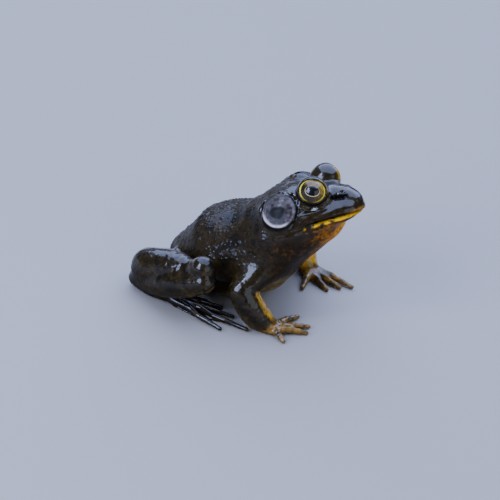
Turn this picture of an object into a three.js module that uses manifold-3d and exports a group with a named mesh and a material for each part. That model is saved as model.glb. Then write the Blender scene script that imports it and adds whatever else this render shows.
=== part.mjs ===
// American bullfrog, adult, sitting up on its forelegs. Millimetres, +X forward, +Y to the
// animal's left, +Z up. The origin is under the middle of the animal, on the floor.
import * as THREE from 'three';
import { mergeVertices } from 'three/addons/utils/BufferGeometryUtils.js';
import Module from 'manifold-3d';

const wasm = await Module();
wasm.setup();

// ---------------------------------------------------------------- driving dimensions
const GAP = 0.35;                 // clearance between neighbouring solids
const HEAD_PITCH = 29;            // degrees the head points up
const HEAD_TIP = [46.6, 2.5, 69.2]; // end of the head's axis, at the tip of the snout
const HEAD_ROLL = 4.5;            // degrees the head leans, its right side up
const HEAD_YAW = 6;               // degrees the head is turned to its left
const HEAD_LENGTH = 46;           // snout to the neck, along the head's axis
const TRUNK_PITCH = 38;           // degrees the back rises towards the neck
const TRUNK_TAIL = [-50, 0, 6];   // rear end of the trunk's axis
const SNOUT = 0.9;                // where the upper jaw starts on the head's axis
const CHIN = 2.8;                 // where the lower jaw starts on the head's axis
const EYE_RADIUS = 6.8;
const EYE_AT = [21.1, 10.2, 14.3]; // back, sideways and up in the head's frame
const GAZE = [-0.42, 0.84, 0.33];  // where the pupil points, in the head's frame
const LID_RADII = [7.8, 7.7, 7.7]; // the lid's lump around the ball, along, up and across
const LID_OPENING = 6.75;          // radius of the opening between the lids
const DRUM_RADIUS = 8.2;           // tympanum
const DRUM_AT = [36.4, 19.9, 10.2];
const DRUM_OUT = [-0.14, 0.86, 0.49];
const DRUM_THICK = 2.2;
const WEB_TOP = 1.1;              // top of the webs between the toes
const SHIFT = [5.622, -4.920, 0];    // brings the middle of the bounding box over the origin

// Limb pieces as stations x, y, z, radius along the bone; then palm, finger tips, knuckles
// and toe tips on the floor.
const RIGHT = {
  upper_arm: [[9.5, -18, 34, 9.0], [6.5, -26, 27, 7.4], [3.0, -32.5, 20.3, 6.1]],
  forearm: [[3.0, -33, 19.8, 6.2], [6.9, -32, 14.3, 7.3], [11, -30.5, 8.6, 7.0], [14.5, -29, 5.2, 5.4]],
  thigh: [[-34, -10, 8.7, 8.0], [-43.5, -22.5, 9.7, 8.8], [-47.3, -32.5, 13.6, 9.4], [-33, -36, 20.8, 8.6], [-21.6, -40.2, 26.2, 5.2], [-15, -43, 31.4, 6.0]],
  shank: [[-13, -44.8, 25, 6.1], [-24, -43, 18.5, 7.3], [-38, -39, 11.2, 6.8], [-52.3, -32.6, 5.2, 4.8]],
  tarsus: [[-52.3, -32.6, 5.2, 4.8], [-43, -36.2, 4.6, 4.4], [-30, -34.8, 4, 4.0]],
  palm: [20, -26.8, 0],
  fingers: [[26.2, -9.2], [34.5, -14.2], [35.8, -19.8], [29.5, -33.5]],
  knuckles: [[22, -22], [24.5, -23.5], [24.5, -26.5], [22, -29.5]],
  toes: [[-17, -25.5], [-9, -25.5], [-0.5, -29.5], [9.9, -35.5], [-1, -43]],
};
const LEFT = {
  upper_arm: [[9.5, 18, 34, 9.0], [7.5, 26.5, 27, 7.4], [4.0, 33.5, 20.3, 6.1]],
  forearm: [[4.0, 34, 19.8, 6.2], [6.4, 34, 14.3, 7.2], [8.8, 33.6, 9.2, 6.4], [11.2, 33, 5.2, 5.0]],
  thigh: [[-34.5, 10, 10.5, 9.5], [-36, 22, 9.5, 8.8], [-30, 31, 11, 8.2], [-22, 38, 13.5, 7.4], [-16, 42, 15.8, 6.2], [-12, 44, 17, 5.8]],
  shank: [[-10, 46.5, 12, 6.0], [-20, 46, 9.0, 7.0], [-33, 38, 7.2, 6.4], [-46, 26, 5.3, 4.7]],
  tarsus: [[-46, 26, 5.3, 4.8], [-44, 36, 4.6, 4.4], [-37, 45.5, 4, 4.0]],
  palm: [15.5, 31, 0],
  fingers: [[17.6, 15.8], [28, 22.5], [33, 28], [38, 32.5]],
  knuckles: [[15.5, 27], [18, 27.5], [19.5, 30.5], [18.5, 33.5]],
  toes: [[-18, 43], [-9, 46], [1, 49.5], [6, 55], [-5, 60]],
};

// ---------------------------------------------------------------- small maths
const sub = (a, b) => [a[0] - b[0], a[1] - b[1], a[2] - b[2]];
const add = (a, b) => [a[0] + b[0], a[1] + b[1], a[2] + b[2]];
const mul = (a, k) => [a[0] * k, a[1] * k, a[2] * k];
const dot = (a, b) => a[0] * b[0] + a[1] * b[1] + a[2] * b[2];
const cross = (a, b) => [a[1] * b[2] - a[2] * b[1], a[2] * b[0] - a[0] * b[2], a[0] * b[1] - a[1] * b[0]];
const len = (a) => Math.hypot(a[0], a[1], a[2]);
const unit = (a) => mul(a, 1 / len(a));
const mix = (a, b, t) => add(mul(a, 1 - t), mul(b, t));
const clamp = (x, a, b) => Math.min(b, Math.max(a, x));

// A smooth curve through (xs, ys), with no overshoot.
function curve(xs, ys) {
  const n = xs.length, dx = [], s = [], m = new Array(n).fill(0);
  for (let i = 0; i < n - 1; i++) { dx[i] = xs[i + 1] - xs[i]; s[i] = (ys[i + 1] - ys[i]) / dx[i]; }
  for (let i = 1; i < n - 1; i++) {
    if (s[i - 1] * s[i] > 0) {
      const k = (s[i - 1] * dx[i] + s[i] * dx[i - 1]) / (dx[i - 1] + dx[i]);
      m[i] = Math.sign(k) * Math.min(Math.abs(k), 3 * Math.min(Math.abs(s[i - 1]), Math.abs(s[i])));
    }
  }
  m[0] = s[0]; m[n - 1] = s[n - 2];
  return (t) => {
    t = clamp(t, xs[0], xs[n - 1]);
    let i = 0;
    while (i < n - 2 && t >= xs[i + 1]) i++;
    const h = dx[i], u = (t - xs[i]) / h, u2 = u * u, u3 = u2 * u;
    return (2 * u3 - 3 * u2 + 1) * ys[i] + (u3 - 2 * u2 + u) * h * m[i]
      + (-2 * u3 + 3 * u2) * ys[i + 1] + (u3 - u2) * h * m[i + 1];
  };
}
// The same, laid out along the square root of the distance from a rounded end.
function rounded(xs, ys, start) {
  const c = curve(xs.map((x) => Math.sqrt(Math.max(x - start, 0))), ys);
  return (x) => c(Math.sqrt(Math.max(x - start, 0)));
}
// The smaller of two distances, with a fillet of size k.
function blend(a, b, k) {
  const h = Math.max(k - Math.abs(a - b), 0) / k;
  return Math.min(a, b) - h * h * k * 0.25;
}

// ---------------------------------------------------------------- frames of head and trunk
const rad = Math.PI / 180;
const HC = Math.cos(HEAD_PITCH * rad), HS = Math.sin(HEAD_PITCH * rad);
const TC = Math.cos(TRUNK_PITCH * rad), TS = Math.sin(TRUNK_PITCH * rad);
const RC = Math.cos(HEAD_ROLL * rad), RS = Math.sin(HEAD_ROLL * rad);
const YC = Math.cos(HEAD_YAW * rad), YS = Math.sin(HEAD_YAW * rad);
const ROLLED_LEFT = [HS * RS, RC, -HC * RS], HEAD_UP = [-HS * RC, RS, HC * RC];
const HEAD_FORWARD = add(mul([HC, 0, HS], YC), mul(ROLLED_LEFT, YS)), HEAD_LEFT = add(mul(ROLLED_LEFT, YC), mul([HC, 0, HS], -YS));
// head's frame: s runs back from the snout, y to the left, z up from the line of the mouth
const toHead = (p) => { const d = sub(p, HEAD_TIP); return [-dot(HEAD_FORWARD, d), dot(HEAD_LEFT, d), dot(HEAD_UP, d)]; };
const fromHead = (s, y, z) => add(HEAD_TIP, add(mul(HEAD_FORWARD, -s), add(mul(HEAD_LEFT, y), mul(HEAD_UP, z))));
const headWay = ([s, y, z]) => unit(add(mul(HEAD_FORWARD, -s), add(mul(HEAD_LEFT, y), mul(HEAD_UP, z))));
// trunk's frame: x runs forward from the tail end, z up from the trunk's axis
const toTrunk = (p) => { const d = sub(p, TRUNK_TAIL); return [TC * d[0] + TS * d[2], d[1], -TS * d[0] + TC * d[2]]; };
const fromTrunk = (x, y, z) => [TRUNK_TAIL[0] + TC * x - TS * z, TRUNK_TAIL[1] + y, TRUNK_TAIL[2] + TS * x + TC * z];

// ---------------------------------------------------------------- distance fields
// A body whose section at each x is a rounded oval: half width w, top t and bottom b about m.
function profileBody(q, x0, x1, w, t, b, m, nTop, nBottom) {
  const x = clamp(q[0], x0, x1), over = Math.abs(q[0] - x);
  const y = Math.abs(q[1]), W = Math.max(w(x), 1e-3), M = m(x), up = q[2] > M;
  const H = Math.max(up ? t(x) - M : M - b(x), 1e-3), n = up ? nTop : nBottom, z = Math.abs(q[2] - M);
  const k = Math.pow(Math.pow(y / W, n) + Math.pow(z / H, n), 1 / n);
  let d = k < 1e-3 ? -Math.min(W, H) : Math.hypot(y, z) * (1 - 1 / k);
  if (over > 0) d = Math.sqrt(Math.max(d, 0) ** 2 + over ** 2);
  return d;
}
function ellipsoid(q, c, r) {
  const d = sub(q, c);
  const k0 = Math.hypot(d[0] / r[0], d[1] / r[1], d[2] / r[2]);
  const k1 = Math.hypot(d[0] / r[0] ** 2, d[1] / r[1] ** 2, d[2] / r[2] ** 2);
  return k1 > 1e-9 ? k0 * (k0 - 1) / k1 : -Math.min(...r);
}
function disc(q, c, n, r, half, round) {   // flat round plate with a rounded edge
  const d = sub(q, c), a = dot(d, n), x = Math.abs(a) - half, y = len(sub(d, mul(n, a))) - r;
  return Math.min(Math.max(x, y), 0) + Math.hypot(Math.max(x, 0), Math.max(y, 0)) - round;
}
function tube(q, a, b, radius) {   // round bar from a to b, radius(t) along it
  const ab = sub(b, a), t = clamp(dot(sub(q, a), ab) / dot(ab, ab), 0, 1);
  return len(sub(q, add(a, mul(ab, t)))) - radius(t);
}

const lipHalf = rounded([SNOUT, 1.9, 3.9, 7, 11.4, 16.7, 22, 32, 39.5, 47, 56], [0, 3.8, 7.1, 10.0, 12.6, 15.2, 17.4, 20.6, 22.0, 21.2, 15], SNOUT);
const lipTop = rounded([SNOUT, 1.7, 3.4, 6, 10, 20, 30, 40, 56], [1.6, 3.4, 4.8, 6.0, 7.0, 9.0, 11.0, 11.5, 8], SNOUT);
const roofHalf = rounded([SNOUT, 2, 4.3, 8, 12.5, 16.9, 23, 31.5, 41.5, 48.5, 56], [0, 3.3, 5.0, 6.5, 7.7, 8.7, 10.2, 13.2, 14.2, 13.2, 10], SNOUT);
const roofTop = rounded([SNOUT, 2, 4, 7.5, 12, 16.5, 22.5, 31, 41, 48, 56], [1.6, 5.8, 8.4, 11.1, 13.0, 14.2, 15.2, 15.8, 15.2, 13.0, 8], SNOUT);
const mouth = rounded([SNOUT, 2.5, 10, 20, 30, 40, 56], [-1.3, -0.9, 0.0, 0.1, -0.3, -1.6, -3], SNOUT);
const jawHalf = rounded([CHIN, 3.9, 5.9, 8.8, 14.5, 20.5, 31, 39.5, 47, 56], [0, 5.0, 8.7, 11.4, 14.2, 16.8, 20.2, 21.5, 20.8, 15], CHIN);
const jawBottom = rounded([CHIN, 4, 6.4, 9.9, 14.2, 15.6, 17, 20, 24, 30, 40, 56], [-1.7, -2.6, -3.7, -4.7, -5.8, -8.0, -10.8, -12.8, -14.7, -17.4, -21.2, -27], CHIN);
const trunkHalf = curve([0, 4, 10, 20, 30, 40, 50, 60, 70, 80], [4, 8.5, 13.5, 20.5, 26.5, 29.5, 29.5, 27.5, 25, 20]);
const trunkTop = curve([0, 4, 10, 20, 30, 40, 50, 60, 70, 80], [1.5, 4.2, 6.4, 9.7, 14.0, 12.8, 10.0, 8.9, 9.5, 8]);
const trunkBottom = curve([0, 4, 10, 20, 30, 40, 50, 60, 70, 80], [-4, -9.5, -16, -25, -31, -33.8, -34, -30, -23, -14]);
const trunkMiddle = curve([0, 20, 40, 60, 80], [-3, -6, -10, -10, -7]);

const FOLD = [[28.6, 11.6, 14.6, 1.2], [36.2, 12.4, 16.0, 1.4], [40.2, 15.6, 15.8, 1.4], [43.3, 16.7, 14.0, 1.5], [45.8, 17.6, 11.4, 1.6], [46.6, 18.6, 6.5, 1.6]];

function upperHead(p) {
  const q = toHead(p);
  const lip = profileBody(q, SNOUT, 56, lipHalf, lipTop, (x) => mouth(x) - 0.15, (x) => mouth(x) + 1.9, 2.2, 2.6);
  const roof = profileBody(q, SNOUT, 56, roofHalf, roofTop, () => -0.5, () => 3, 2.7, 2);
  let d = blend(lip, roof, clamp(0.8 * (q[0] - SNOUT), 0.6, 5));
  for (const side of [-1, 1]) {
    const at = (v) => [v[0], v[1] * side, v[2]];
    d = blend(d, ellipsoid(q, at([22, 7.8, 10.4]), [8.6, 6.4, 6.2]), 3);                            // mound under the eyelid
    d = blend(d, ellipsoid(q, at([37.5, 13.8, 6.5]), [12.5, 8.4, 8.6]), 4);                          // temple
    let fold = Infinity;                                                                          // fold over the tympanum
    for (let i = 0; i < FOLD.length - 1; i++) {
      const a = FOLD[i], b = FOLD[i + 1], f = tube(q, at(a), at(b), (t) => a[3] + (b[3] - a[3]) * t);
      fold = i ? blend(fold, f, 1) : f;
    }
    d = blend(d, fold, 1.6);
    d = blend(d, disc(q, at(DRUM_AT), at(unit(DRUM_OUT)), 8.2, 0.4, 0.7), 1.2);                      // seat of the tympanum
  }
  return d;
}
function lowerHead(p) {
  const q = toHead(p);
  const jaw = profileBody(q, CHIN, 56, jawHalf, (x) => mouth(x) + 0.15, jawBottom, (x) => mouth(x) - 1.6, 2, 2.3);
  return jaw;
}
const throat = (p) => ellipsoid(toHead(p), [42, 0, -9], [15, 19, 11]);
const trunk = (p) => profileBody(toTrunk(p), 0, 80, trunkHalf, trunkTop, trunkBottom, trunkMiddle, 2.1, 2.3);
const body = (p) => blend(blend(blend(upperHead(p), lowerHead(p), clamp(0.8 + 0.4 * (toHead(p)[0] - CHIN), 0.8, 3.4)), throat(p), 3), trunk(p), 13);

// ---------------------------------------------------------------- lofted solids
// A closed solid whose rings run along a path and whose points lie where the field equals
// level. stations: {c, t, tilt}: centre, direction and the rays' tilt towards the direction.
function loft(field, stations, around, level = 0, ref = [0, 1, 0], crowd = 0) {
  const reach = (c, d) => {
    let a = 0, b = 0.6;
    while (field(add(c, mul(d, b))) < level && b < 90) { a = b; b += 0.6; }
    for (let i = 0; i < 26; i++) { const m = (a + b) / 2; if (field(add(c, mul(d, m))) < level) a = m; else b = m; }
    return add(c, mul(d, b));
  };
  const pts = [], tris = [], rings = [];
  let guide = ref === 'carry' ? (Math.abs(unit(stations[0].t)[2]) > 0.8 ? [1, 0, 0] : [0, 0, 1]) : ref;
  for (const st of stations) {
    const t = unit(st.t);
    const side = unit(sub(guide, mul(t, dot(guide, t))));
    if (ref === 'carry') guide = side;
    const up = cross(t, side), tilt = (st.tilt || 0) * rad;
    if (Math.abs(Math.abs(st.tilt || 0) - 90) < 1e-6) {
      rings.push([pts.length]);
      pts.push(reach(st.c, mul(t, Math.sign(st.tilt))));
      continue;
    }
    const ring = [];
    for (let i = 0; i < around; i++) {
      const w = 2 * Math.PI * i / around, a = w + crowd * Math.cos(w);
      const r = add(mul(side, Math.cos(a)), mul(up, Math.sin(a)));
      ring.push(pts.length);
      pts.push(reach(st.c, add(mul(r, Math.cos(tilt)), mul(t, Math.sin(tilt)))));
    }
    rings.push(ring);
  }
  for (let k = 0; k < rings.length - 1; k++) {
    const A = rings[k], B = rings[k + 1];
    for (let i = 0; i < around; i++) {
      const j = (i + 1) % around;
      if (A.length === 1) tris.push(A[0], B[j], B[i]);
      else if (B.length === 1) tris.push(A[i], A[j], B[0]);
      else tris.push(A[i], A[j], B[j], A[i], B[j], B[i]);
    }
  }
  return solidOf(pts.flat(), tris);
}
function solidOf(vertices, triangles) {
  const s = new wasm.Manifold(new wasm.Mesh({ numProp: 3, vertProperties: new Float32Array(vertices), triVerts: new Uint32Array(triangles) }));
  if (s.volume() < 0) throw new Error('inside out');
  return s;
}
function solidFromGeometry(geometry, matrix) {
  const g = geometry.clone();
  g.deleteAttribute('normal'); g.deleteAttribute('uv');
  if (matrix) g.applyMatrix4(matrix);
  const m = mergeVertices(g, 1e-4);
  const idx = Array.from(m.index.array), keep = [];
  for (let i = 0; i < idx.length; i += 3) if (idx[i] !== idx[i + 1] && idx[i + 1] !== idx[i + 2] && idx[i] !== idx[i + 2]) keep.push(idx[i], idx[i + 1], idx[i + 2]);
  return solidOf(Array.from(m.attributes.position.array), keep);
}
const placed = (x, y, z, at) => new THREE.Matrix4().makeBasis(new THREE.Vector3(...x), new THREE.Vector3(...y), new THREE.Vector3(...z)).setPosition(...at);

// head and trunk in one loft, along an axis from the rump to the snout
function bodyLoft(level) {
  const knots = [fromTrunk(7, 0, -3.5), fromTrunk(20, 0, -7), fromTrunk(38, 0, -10.5), fromTrunk(55, 0, -10),
    fromHead(44, 0, -2), fromHead(33, 0, 2.5), fromHead(20, 0, 4), fromHead(5.6, 0, 1.2)];
  const path = new THREE.CatmullRomCurve3(knots.map((k) => new THREE.Vector3(...k)), false, 'centripetal');
  const st = [];
  const at = (u, tilt) => { const c = path.getPointAt(u), t = path.getTangentAt(u); st.push({ c: [c.x, c.y, c.z], t: [t.x, t.y, t.z], tilt }); };
  at(0, -90); at(0, -68); at(0, -46); at(0, -23);
  for (const [from, to, n] of [[0, 0.63, 10], [0.63, 0.76, 5], [0.76, 0.95, 10], [0.95, 1, 2]]) {
    for (let i = 0; i < n; i++) at(from + (to - from) * i / n, 0);
  }
  at(1, 0);
  at(1, 20); at(1, 40); at(1, 62); at(1, 90);
  return loft(body, st, 27, level, [0, 1, 0], 0.38);
}
// Stations joined by a smooth curve, steps between each pair.
function spread(stations, steps) {
  const n = stations.length, out = [];
  for (let i = 0; i < n - 1; i++) {
    const P = [stations[Math.max(i - 1, 0)], stations[i], stations[i + 1], stations[Math.min(i + 2, n - 1)]];
    for (let j = 0; j < steps; j++) {
      const t = j / steps, t2 = t * t, t3 = t2 * t;
      out.push([0, 1, 2, 3].map((k) => 0.5 * (2 * P[1][k] + (P[2][k] - P[0][k]) * t
        + (2 * P[0][k] - 5 * P[1][k] + 4 * P[2][k] - P[3][k]) * t2 + (3 * P[1][k] - P[0][k] - 3 * P[2][k] + P[3][k]) * t3)));
    }
  }
  out.push(stations[n - 1]);
  return out;
}
function chainField(fine) {
  return (p) => {
    let d = Infinity;
    for (let i = 0; i < fine.length - 1; i++) {
      const a = fine[i], b = fine[i + 1];
      d = Math.min(d, tube(p, a.slice(0, 3), b.slice(0, 3), (t) => a[3] + (b[3] - a[3]) * t));
    }
    return d;
  };
}
function limbLoft(stations, steps, around, level) {
  const ring = spread(stations, steps), field = chainField(spread(stations, 4)), n = ring.length, st = [];
  const c = (i) => ring[i].slice(0, 3), along = (i) => sub(c(Math.min(i + 1, n - 1)), c(Math.max(i - 1, 0)));
  for (const tilt of [-90, -60, -30]) st.push({ c: c(0), t: along(0), tilt });
  for (let i = 0; i < n; i++) st.push({ c: c(i), t: along(i), tilt: 0 });
  for (const tilt of [30, 60, 90]) st.push({ c: c(n - 1), t: along(n - 1), tilt });
  return loft(field, st, around, level, 'carry');
}
// finger or toe: a bent taper resting on the floor
function digit(base, tip, thick, level) {
  const u = sub(tip, base);
  const k1 = add(base, mul(u, 0.36)); k1[2] = Math.max(base[2] + 0.4, 2);
  const k2 = add(base, mul(u, 0.7)); k2[2] = 1.7;
  const P = [base, k1, k2, tip], R = [2.4, 1.75, 1.35, 1.0].map((x) => x * thick);
  const f = (p) => Math.min(...[0, 1, 2].map((i) => tube(p, P[i], P[i + 1], (t) => R[i] + (R[i + 1] - R[i]) * t)));
  const dir = unit(u), st = [{ c: base, t: dir, tilt: -90 }, { c: base, t: dir, tilt: -35 }];
  for (const [i, t] of [[0, 0.3], [1, 0], [2, 0], [2, 0.95]]) st.push({ c: mix(P[i], P[i + 1], t), t: dir, tilt: 0 });
  st.push({ c: tip, t: dir, tilt: 90 });
  return loft(f, st, 5, level, [0, 0, 1]);
}
function palm(wrist, at, level) {
  const w = wrist.slice(0, 3), r = wrist[3] - 0.2;
  const f = (p) => blend(tube(p, w, add(at, [0, 0, 2.8]), (t) => r + (3.4 - r) * t), ellipsoid(p, add(at, [0, 0, 1.6]), [5.4, 5.4, 3.2]), 2);
  const end = add(at, [0, 0, 2.2]), dir = sub(end, w), st = [];
  for (const tilt of [-90, -50]) st.push({ c: w, t: dir, tilt });
  for (const t of [0, 0.35, 0.7, 1]) st.push({ c: mix(w, end, t), t: dir, tilt: 0 });
  for (const tilt of [40, 90]) st.push({ c: end, t: dir, tilt });
  return loft(f, st, 8, level, [0, 0, 1]);
}
function hand(L, level) {
  let s = palm(L.forearm.at(-1), L.palm, level);
  L.fingers.forEach((tip, i) => { s = s.add(digit([...L.knuckles[i], 2.3], [...tip, 1], 1, level)); });
  return s;
}
function toeBases(L) {
  const mid = L.tarsus.at(-2), end = L.tarsus.at(-1);
  const axis = unit([end[0] - mid[0], end[1] - mid[1], 0]), sign = Math.sign(end[1]);
  const side = [-axis[1] * sign, axis[0] * sign, 0];
  return L.toes.map((_, i) => { const b = add(end.slice(0, 3), mul(side, (i / 4 - 0.5) * 6.5)); b[2] = 3.4; return b; });
}
function foot(L, level) {
  let s = limbLoft(L.tarsus, 1, 8, level);
  const bases = toeBases(L);
  L.toes.forEach((tip, i) => { s = s.add(digit(bases[i], [...tip, 1], 0.95, level)); });
  // web: from toe to toe, with a hollow edge between the tips
  const reach = [0.8, 0.8, 0.78, 0.72, 0.8], outline = [];
  const on = (i, k) => { const p = mix(bases[i], [...L.toes[i], 1], k); return new THREE.Vector2(p[0], p[1]); };
  outline.push(on(0, 0));
  for (let i = 0; i < 5; i++) {
    outline.push(on(i, reach[i]));
    if (i < 4) {
      const a = on(i, reach[i] * 0.66), b = on(i + 1, reach[i + 1] * 0.66);
      outline.push(a.add(b).multiplyScalar(0.5));
    }
  }
  outline.push(on(4, 0));
  if (THREE.ShapeUtils.area(outline) < 0) outline.reverse();
  const web = new THREE.ExtrudeGeometry(new THREE.Shape(outline), { depth: WEB_TOP + 1, bevelEnabled: false });
  s = s.add(solidFromGeometry(web, new THREE.Matrix4().makeTranslation(0, 0, -1)));
  return s;
}

// ---------------------------------------------------------------- cutting
const block = (w, d, h, matrix) => solidFromGeometry(new THREE.BoxGeometry(w, d, h), matrix);
const below = block(400, 400, 60, new THREE.Matrix4().makeTranslation(0, 0, -30));
const biggest = (s) => s.decompose().sort((a, b) => b.volume() - a.volume())[0];
const onFloor = (s) => biggest(s.subtract(below));

const whole = bodyLoft(0), wholeWide = bodyLoft(GAP);

// eyes: balls that fill the sockets
const eyeAt = (side) => fromHead(EYE_AT[0], EYE_AT[1] * side, EYE_AT[2]);
const gazeOf = (side) => headWay([GAZE[0], GAZE[1] * side, GAZE[2]]);
const along = (n, at) => { const x = unit(cross([0, 0, 1], n)); return placed(x, n, cross(x, n), at); };
const ball = (side, r, n) => solidFromGeometry(new THREE.SphereGeometry(r, n, Math.round(n / 2)), along(gazeOf(side), eyeAt(side)));
function socket(side) {   // room for the ball, and the clear opening between the lids
  const R = EYE_RADIUS + GAP, start = Math.sqrt(R * R - LID_OPENING * LID_OPENING), g = gazeOf(side);
  const open = new THREE.CylinderGeometry(LID_OPENING, LID_OPENING, 12, 20);
  return ball(side, R, 18).add(solidFromGeometry(open, along(g, add(eyeAt(side), mul(g, start + 6 - 0.3)))));
}
// the eyelid: a round lump over the back of the ball
function lid(side) {
  const at = add(sub(EYE_AT, mul(unit(GAZE), 1.2)), [0.6, 0, -0.2]), g = new THREE.SphereGeometry(1, 16, 9);
  g.scale(...LID_RADII);
  return solidFromGeometry(g, placed(mul(HEAD_FORWARD, -1), HEAD_UP, HEAD_LEFT, fromHead(at[0], at[1] * side, at[2])));
}
// tympanum: a shallow round disc, domed in the middle and raised at its rim
function drum(side, grow) {
  const R = DRUM_RADIUS + grow, h = DRUM_THICK / 2;
  const profile = [[0, -h - grow], [R, -h - grow], [R, h * 0.5 + grow], [R - 0.6, h + grow], [R * 0.72, h * 0.45 + grow], [R * 0.4, h * 0.6 + grow], [0, h + grow]];
  const n = headWay([DRUM_OUT[0], DRUM_OUT[1] * side, DRUM_OUT[2]]);
  const at = add(fromHead(DRUM_AT[0], DRUM_AT[1] * side, DRUM_AT[2]), mul(n, 1.25 - h));
  let s = solidFromGeometry(new THREE.LatheGeometry(profile.map(([x, y]) => new THREE.Vector2(x, y)), 16), along(n, at));
  if (grow) s = s.add(solidFromGeometry(new THREE.CylinderGeometry(R, R, 8, 16), along(n, add(at, mul(n, 4)))));   // clear above it
  return s;
}

// the mouth's line, as a thin curved sheet, and the neck's plane
function mouthSheet() {
  const top = [], bottom = [];
  for (let s = -6; s <= HEAD_LENGTH + GAP / 2; s += 4.0) { top.push(new THREE.Vector2(s, mouth(s) + GAP / 2)); bottom.push(new THREE.Vector2(s, mouth(s) - GAP / 2)); }
  top.push(new THREE.Vector2(HEAD_LENGTH + 0.1, mouth(HEAD_LENGTH) + GAP / 2)); bottom.push(new THREE.Vector2(HEAD_LENGTH + 0.1, mouth(HEAD_LENGTH) - GAP / 2));
  const g = new THREE.ExtrudeGeometry(new THREE.Shape([...bottom, ...top.reverse()]), { depth: 90, bevelEnabled: false });
  // x of the shape runs back along the head, y up, z to the animal's left
  return solidFromGeometry(g, placed(mul(HEAD_FORWARD, -1), HEAD_UP, HEAD_LEFT, fromHead(0, -45, 0)));
}
function neckSheet() {
  return block(GAP, 120, 160, placed(HEAD_FORWARD, HEAD_LEFT, HEAD_UP, fromHead(HEAD_LENGTH, 0, 0)));
}

const group = new THREE.Group();
const COLOURS = { skin: 0x2f2a1e, under: 0x7c6a2c, eye: 0x8a6a1c, drum: 0x6a6570, hand: 0x5a4c2a };
const made = {};
function part(name, solid, colour, roughness = 0.3) {
  made[name] = solid;
  const m = solid.getMesh(), g = new THREE.BufferGeometry();
  const pos = new Float32Array(m.vertProperties.length);
  for (let i = 0; i < pos.length; i++) pos[i] = m.vertProperties[i];
  g.setAttribute('position', new THREE.BufferAttribute(pos, 3));
  g.setIndex(new THREE.BufferAttribute(new Uint32Array(m.triVerts), 1));
  g.computeVertexNormals();
  const mesh = new THREE.Mesh(g, new THREE.MeshStandardMaterial({ color: colour, roughness, metalness: 0 }));
  mesh.name = name;
  mesh.position.set(...SHIFT);
  group.add(mesh);
}

// head, lower jaw and trunk: the whole loft, parted at the mouth and the neck
const pieces = whole.subtract(mouthSheet()).subtract(neckSheet()).decompose().sort((a, b) => b.volume() - a.volume()).slice(0, 3);
const middle = (s) => { const b = s.boundingBox(); return [(b.min[0] + b.max[0]) / 2, (b.min[1] + b.max[1]) / 2, (b.min[2] + b.max[2]) / 2]; };
pieces.sort((a, b) => middle(a)[2] - middle(b)[2]);
let [trunkSolid, jawSolid, headSolid] = pieces;
for (const side of [-1, 1]) {
  headSolid = headSolid.add(lid(side)).subtract(socket(side)).subtract(drum(side, GAP));
}
part('head', biggest(headSolid), COLOURS.skin);
part('lower_jaw', biggest(jawSolid), COLOURS.under);
part('trunk', onFloor(trunkSolid), COLOURS.skin);
for (const [name, side] of [['right', -1], ['left', 1]]) {
  part('eye_' + name, ball(side, EYE_RADIUS, 16), COLOURS.eye, 0.05);
  part('tympanum_' + name, drum(side, 0), COLOURS.drum);
}
for (const [name, L] of [['right', RIGHT], ['left', LEFT]]) {
  const upper = (v) => limbLoft(L.upper_arm, 2, 10, v);
  const fore = (v) => limbLoft(L.forearm, 1, 10, v);
  // hip and thigh are two lofts, as the leg turns sharply between them
  const turn = [...mix(L.thigh[2].slice(0, 3), L.thigh[1].slice(0, 3), 0.25), L.thigh[2][3] - 0.7];
  const thigh = (v) => limbLoft([L.thigh[0], L.thigh[1], turn], 1, 10, v).add(limbLoft(L.thigh.slice(2), 2, 10, v));
  const shank = (v) => limbLoft(L.shank, 2, 11, v);
  const upperSolid = onFloor(upper(0).subtract(wholeWide));
  const foreSolid = onFloor(fore(0).subtract(wholeWide).subtract(upper(GAP)).subtract(upperSolid));
  const handSolid = onFloor(hand(L, 0).subtract(fore(GAP)).subtract(wholeWide));
  const thighSolid = onFloor(thigh(0).subtract(wholeWide));
  const shankSolid = onFloor(shank(0).subtract(wholeWide).subtract(thigh(GAP)).subtract(thighSolid));
  const footSolid = onFloor(foot(L, 0).subtract(wholeWide).subtract(thigh(GAP)).subtract(shank(GAP)).subtract(hand(L, GAP)));
  part('upper_arm_' + name, upperSolid, COLOURS.skin);
  part('forearm_' + name, foreSolid, COLOURS.skin);
  part('hand_' + name, handSolid, COLOURS.hand);
  part('thigh_' + name, thighSolid, COLOURS.skin);
  part('shank_' + name, shankSolid, COLOURS.skin);
  part('foot_' + name, footSolid, COLOURS.skin);
}

export default group;
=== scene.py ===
import bpy, math
import numpy as np
from mathutils import Matrix, Vector


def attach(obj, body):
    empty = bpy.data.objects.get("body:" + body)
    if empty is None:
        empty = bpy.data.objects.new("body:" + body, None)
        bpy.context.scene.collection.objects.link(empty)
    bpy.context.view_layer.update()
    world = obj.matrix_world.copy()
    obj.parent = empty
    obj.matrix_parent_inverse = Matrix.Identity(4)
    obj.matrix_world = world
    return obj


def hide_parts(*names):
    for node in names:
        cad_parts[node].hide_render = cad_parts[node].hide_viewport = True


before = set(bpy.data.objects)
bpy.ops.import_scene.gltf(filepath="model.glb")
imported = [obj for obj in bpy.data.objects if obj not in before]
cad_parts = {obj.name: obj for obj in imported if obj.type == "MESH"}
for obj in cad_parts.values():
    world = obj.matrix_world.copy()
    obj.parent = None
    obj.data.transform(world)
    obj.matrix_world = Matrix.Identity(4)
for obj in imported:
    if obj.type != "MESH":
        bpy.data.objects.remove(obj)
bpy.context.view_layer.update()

# ------------------------------------------------------------------ sizes, in millimetres
SHIFT = np.array([5.622, -4.920, 0.0])      # brings the working frame onto the CAD frame
STEP = 0.56         # spacing of the skin's mesh
HEAD_PITCH, HEAD_YAW, HEAD_ROLL = math.radians(29.0), math.radians(6.0), math.radians(4.5)
HEAD_TIP = np.array([46.6, 2.5, 69.2])
TRUNK_PITCH = math.radians(38.0)
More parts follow.
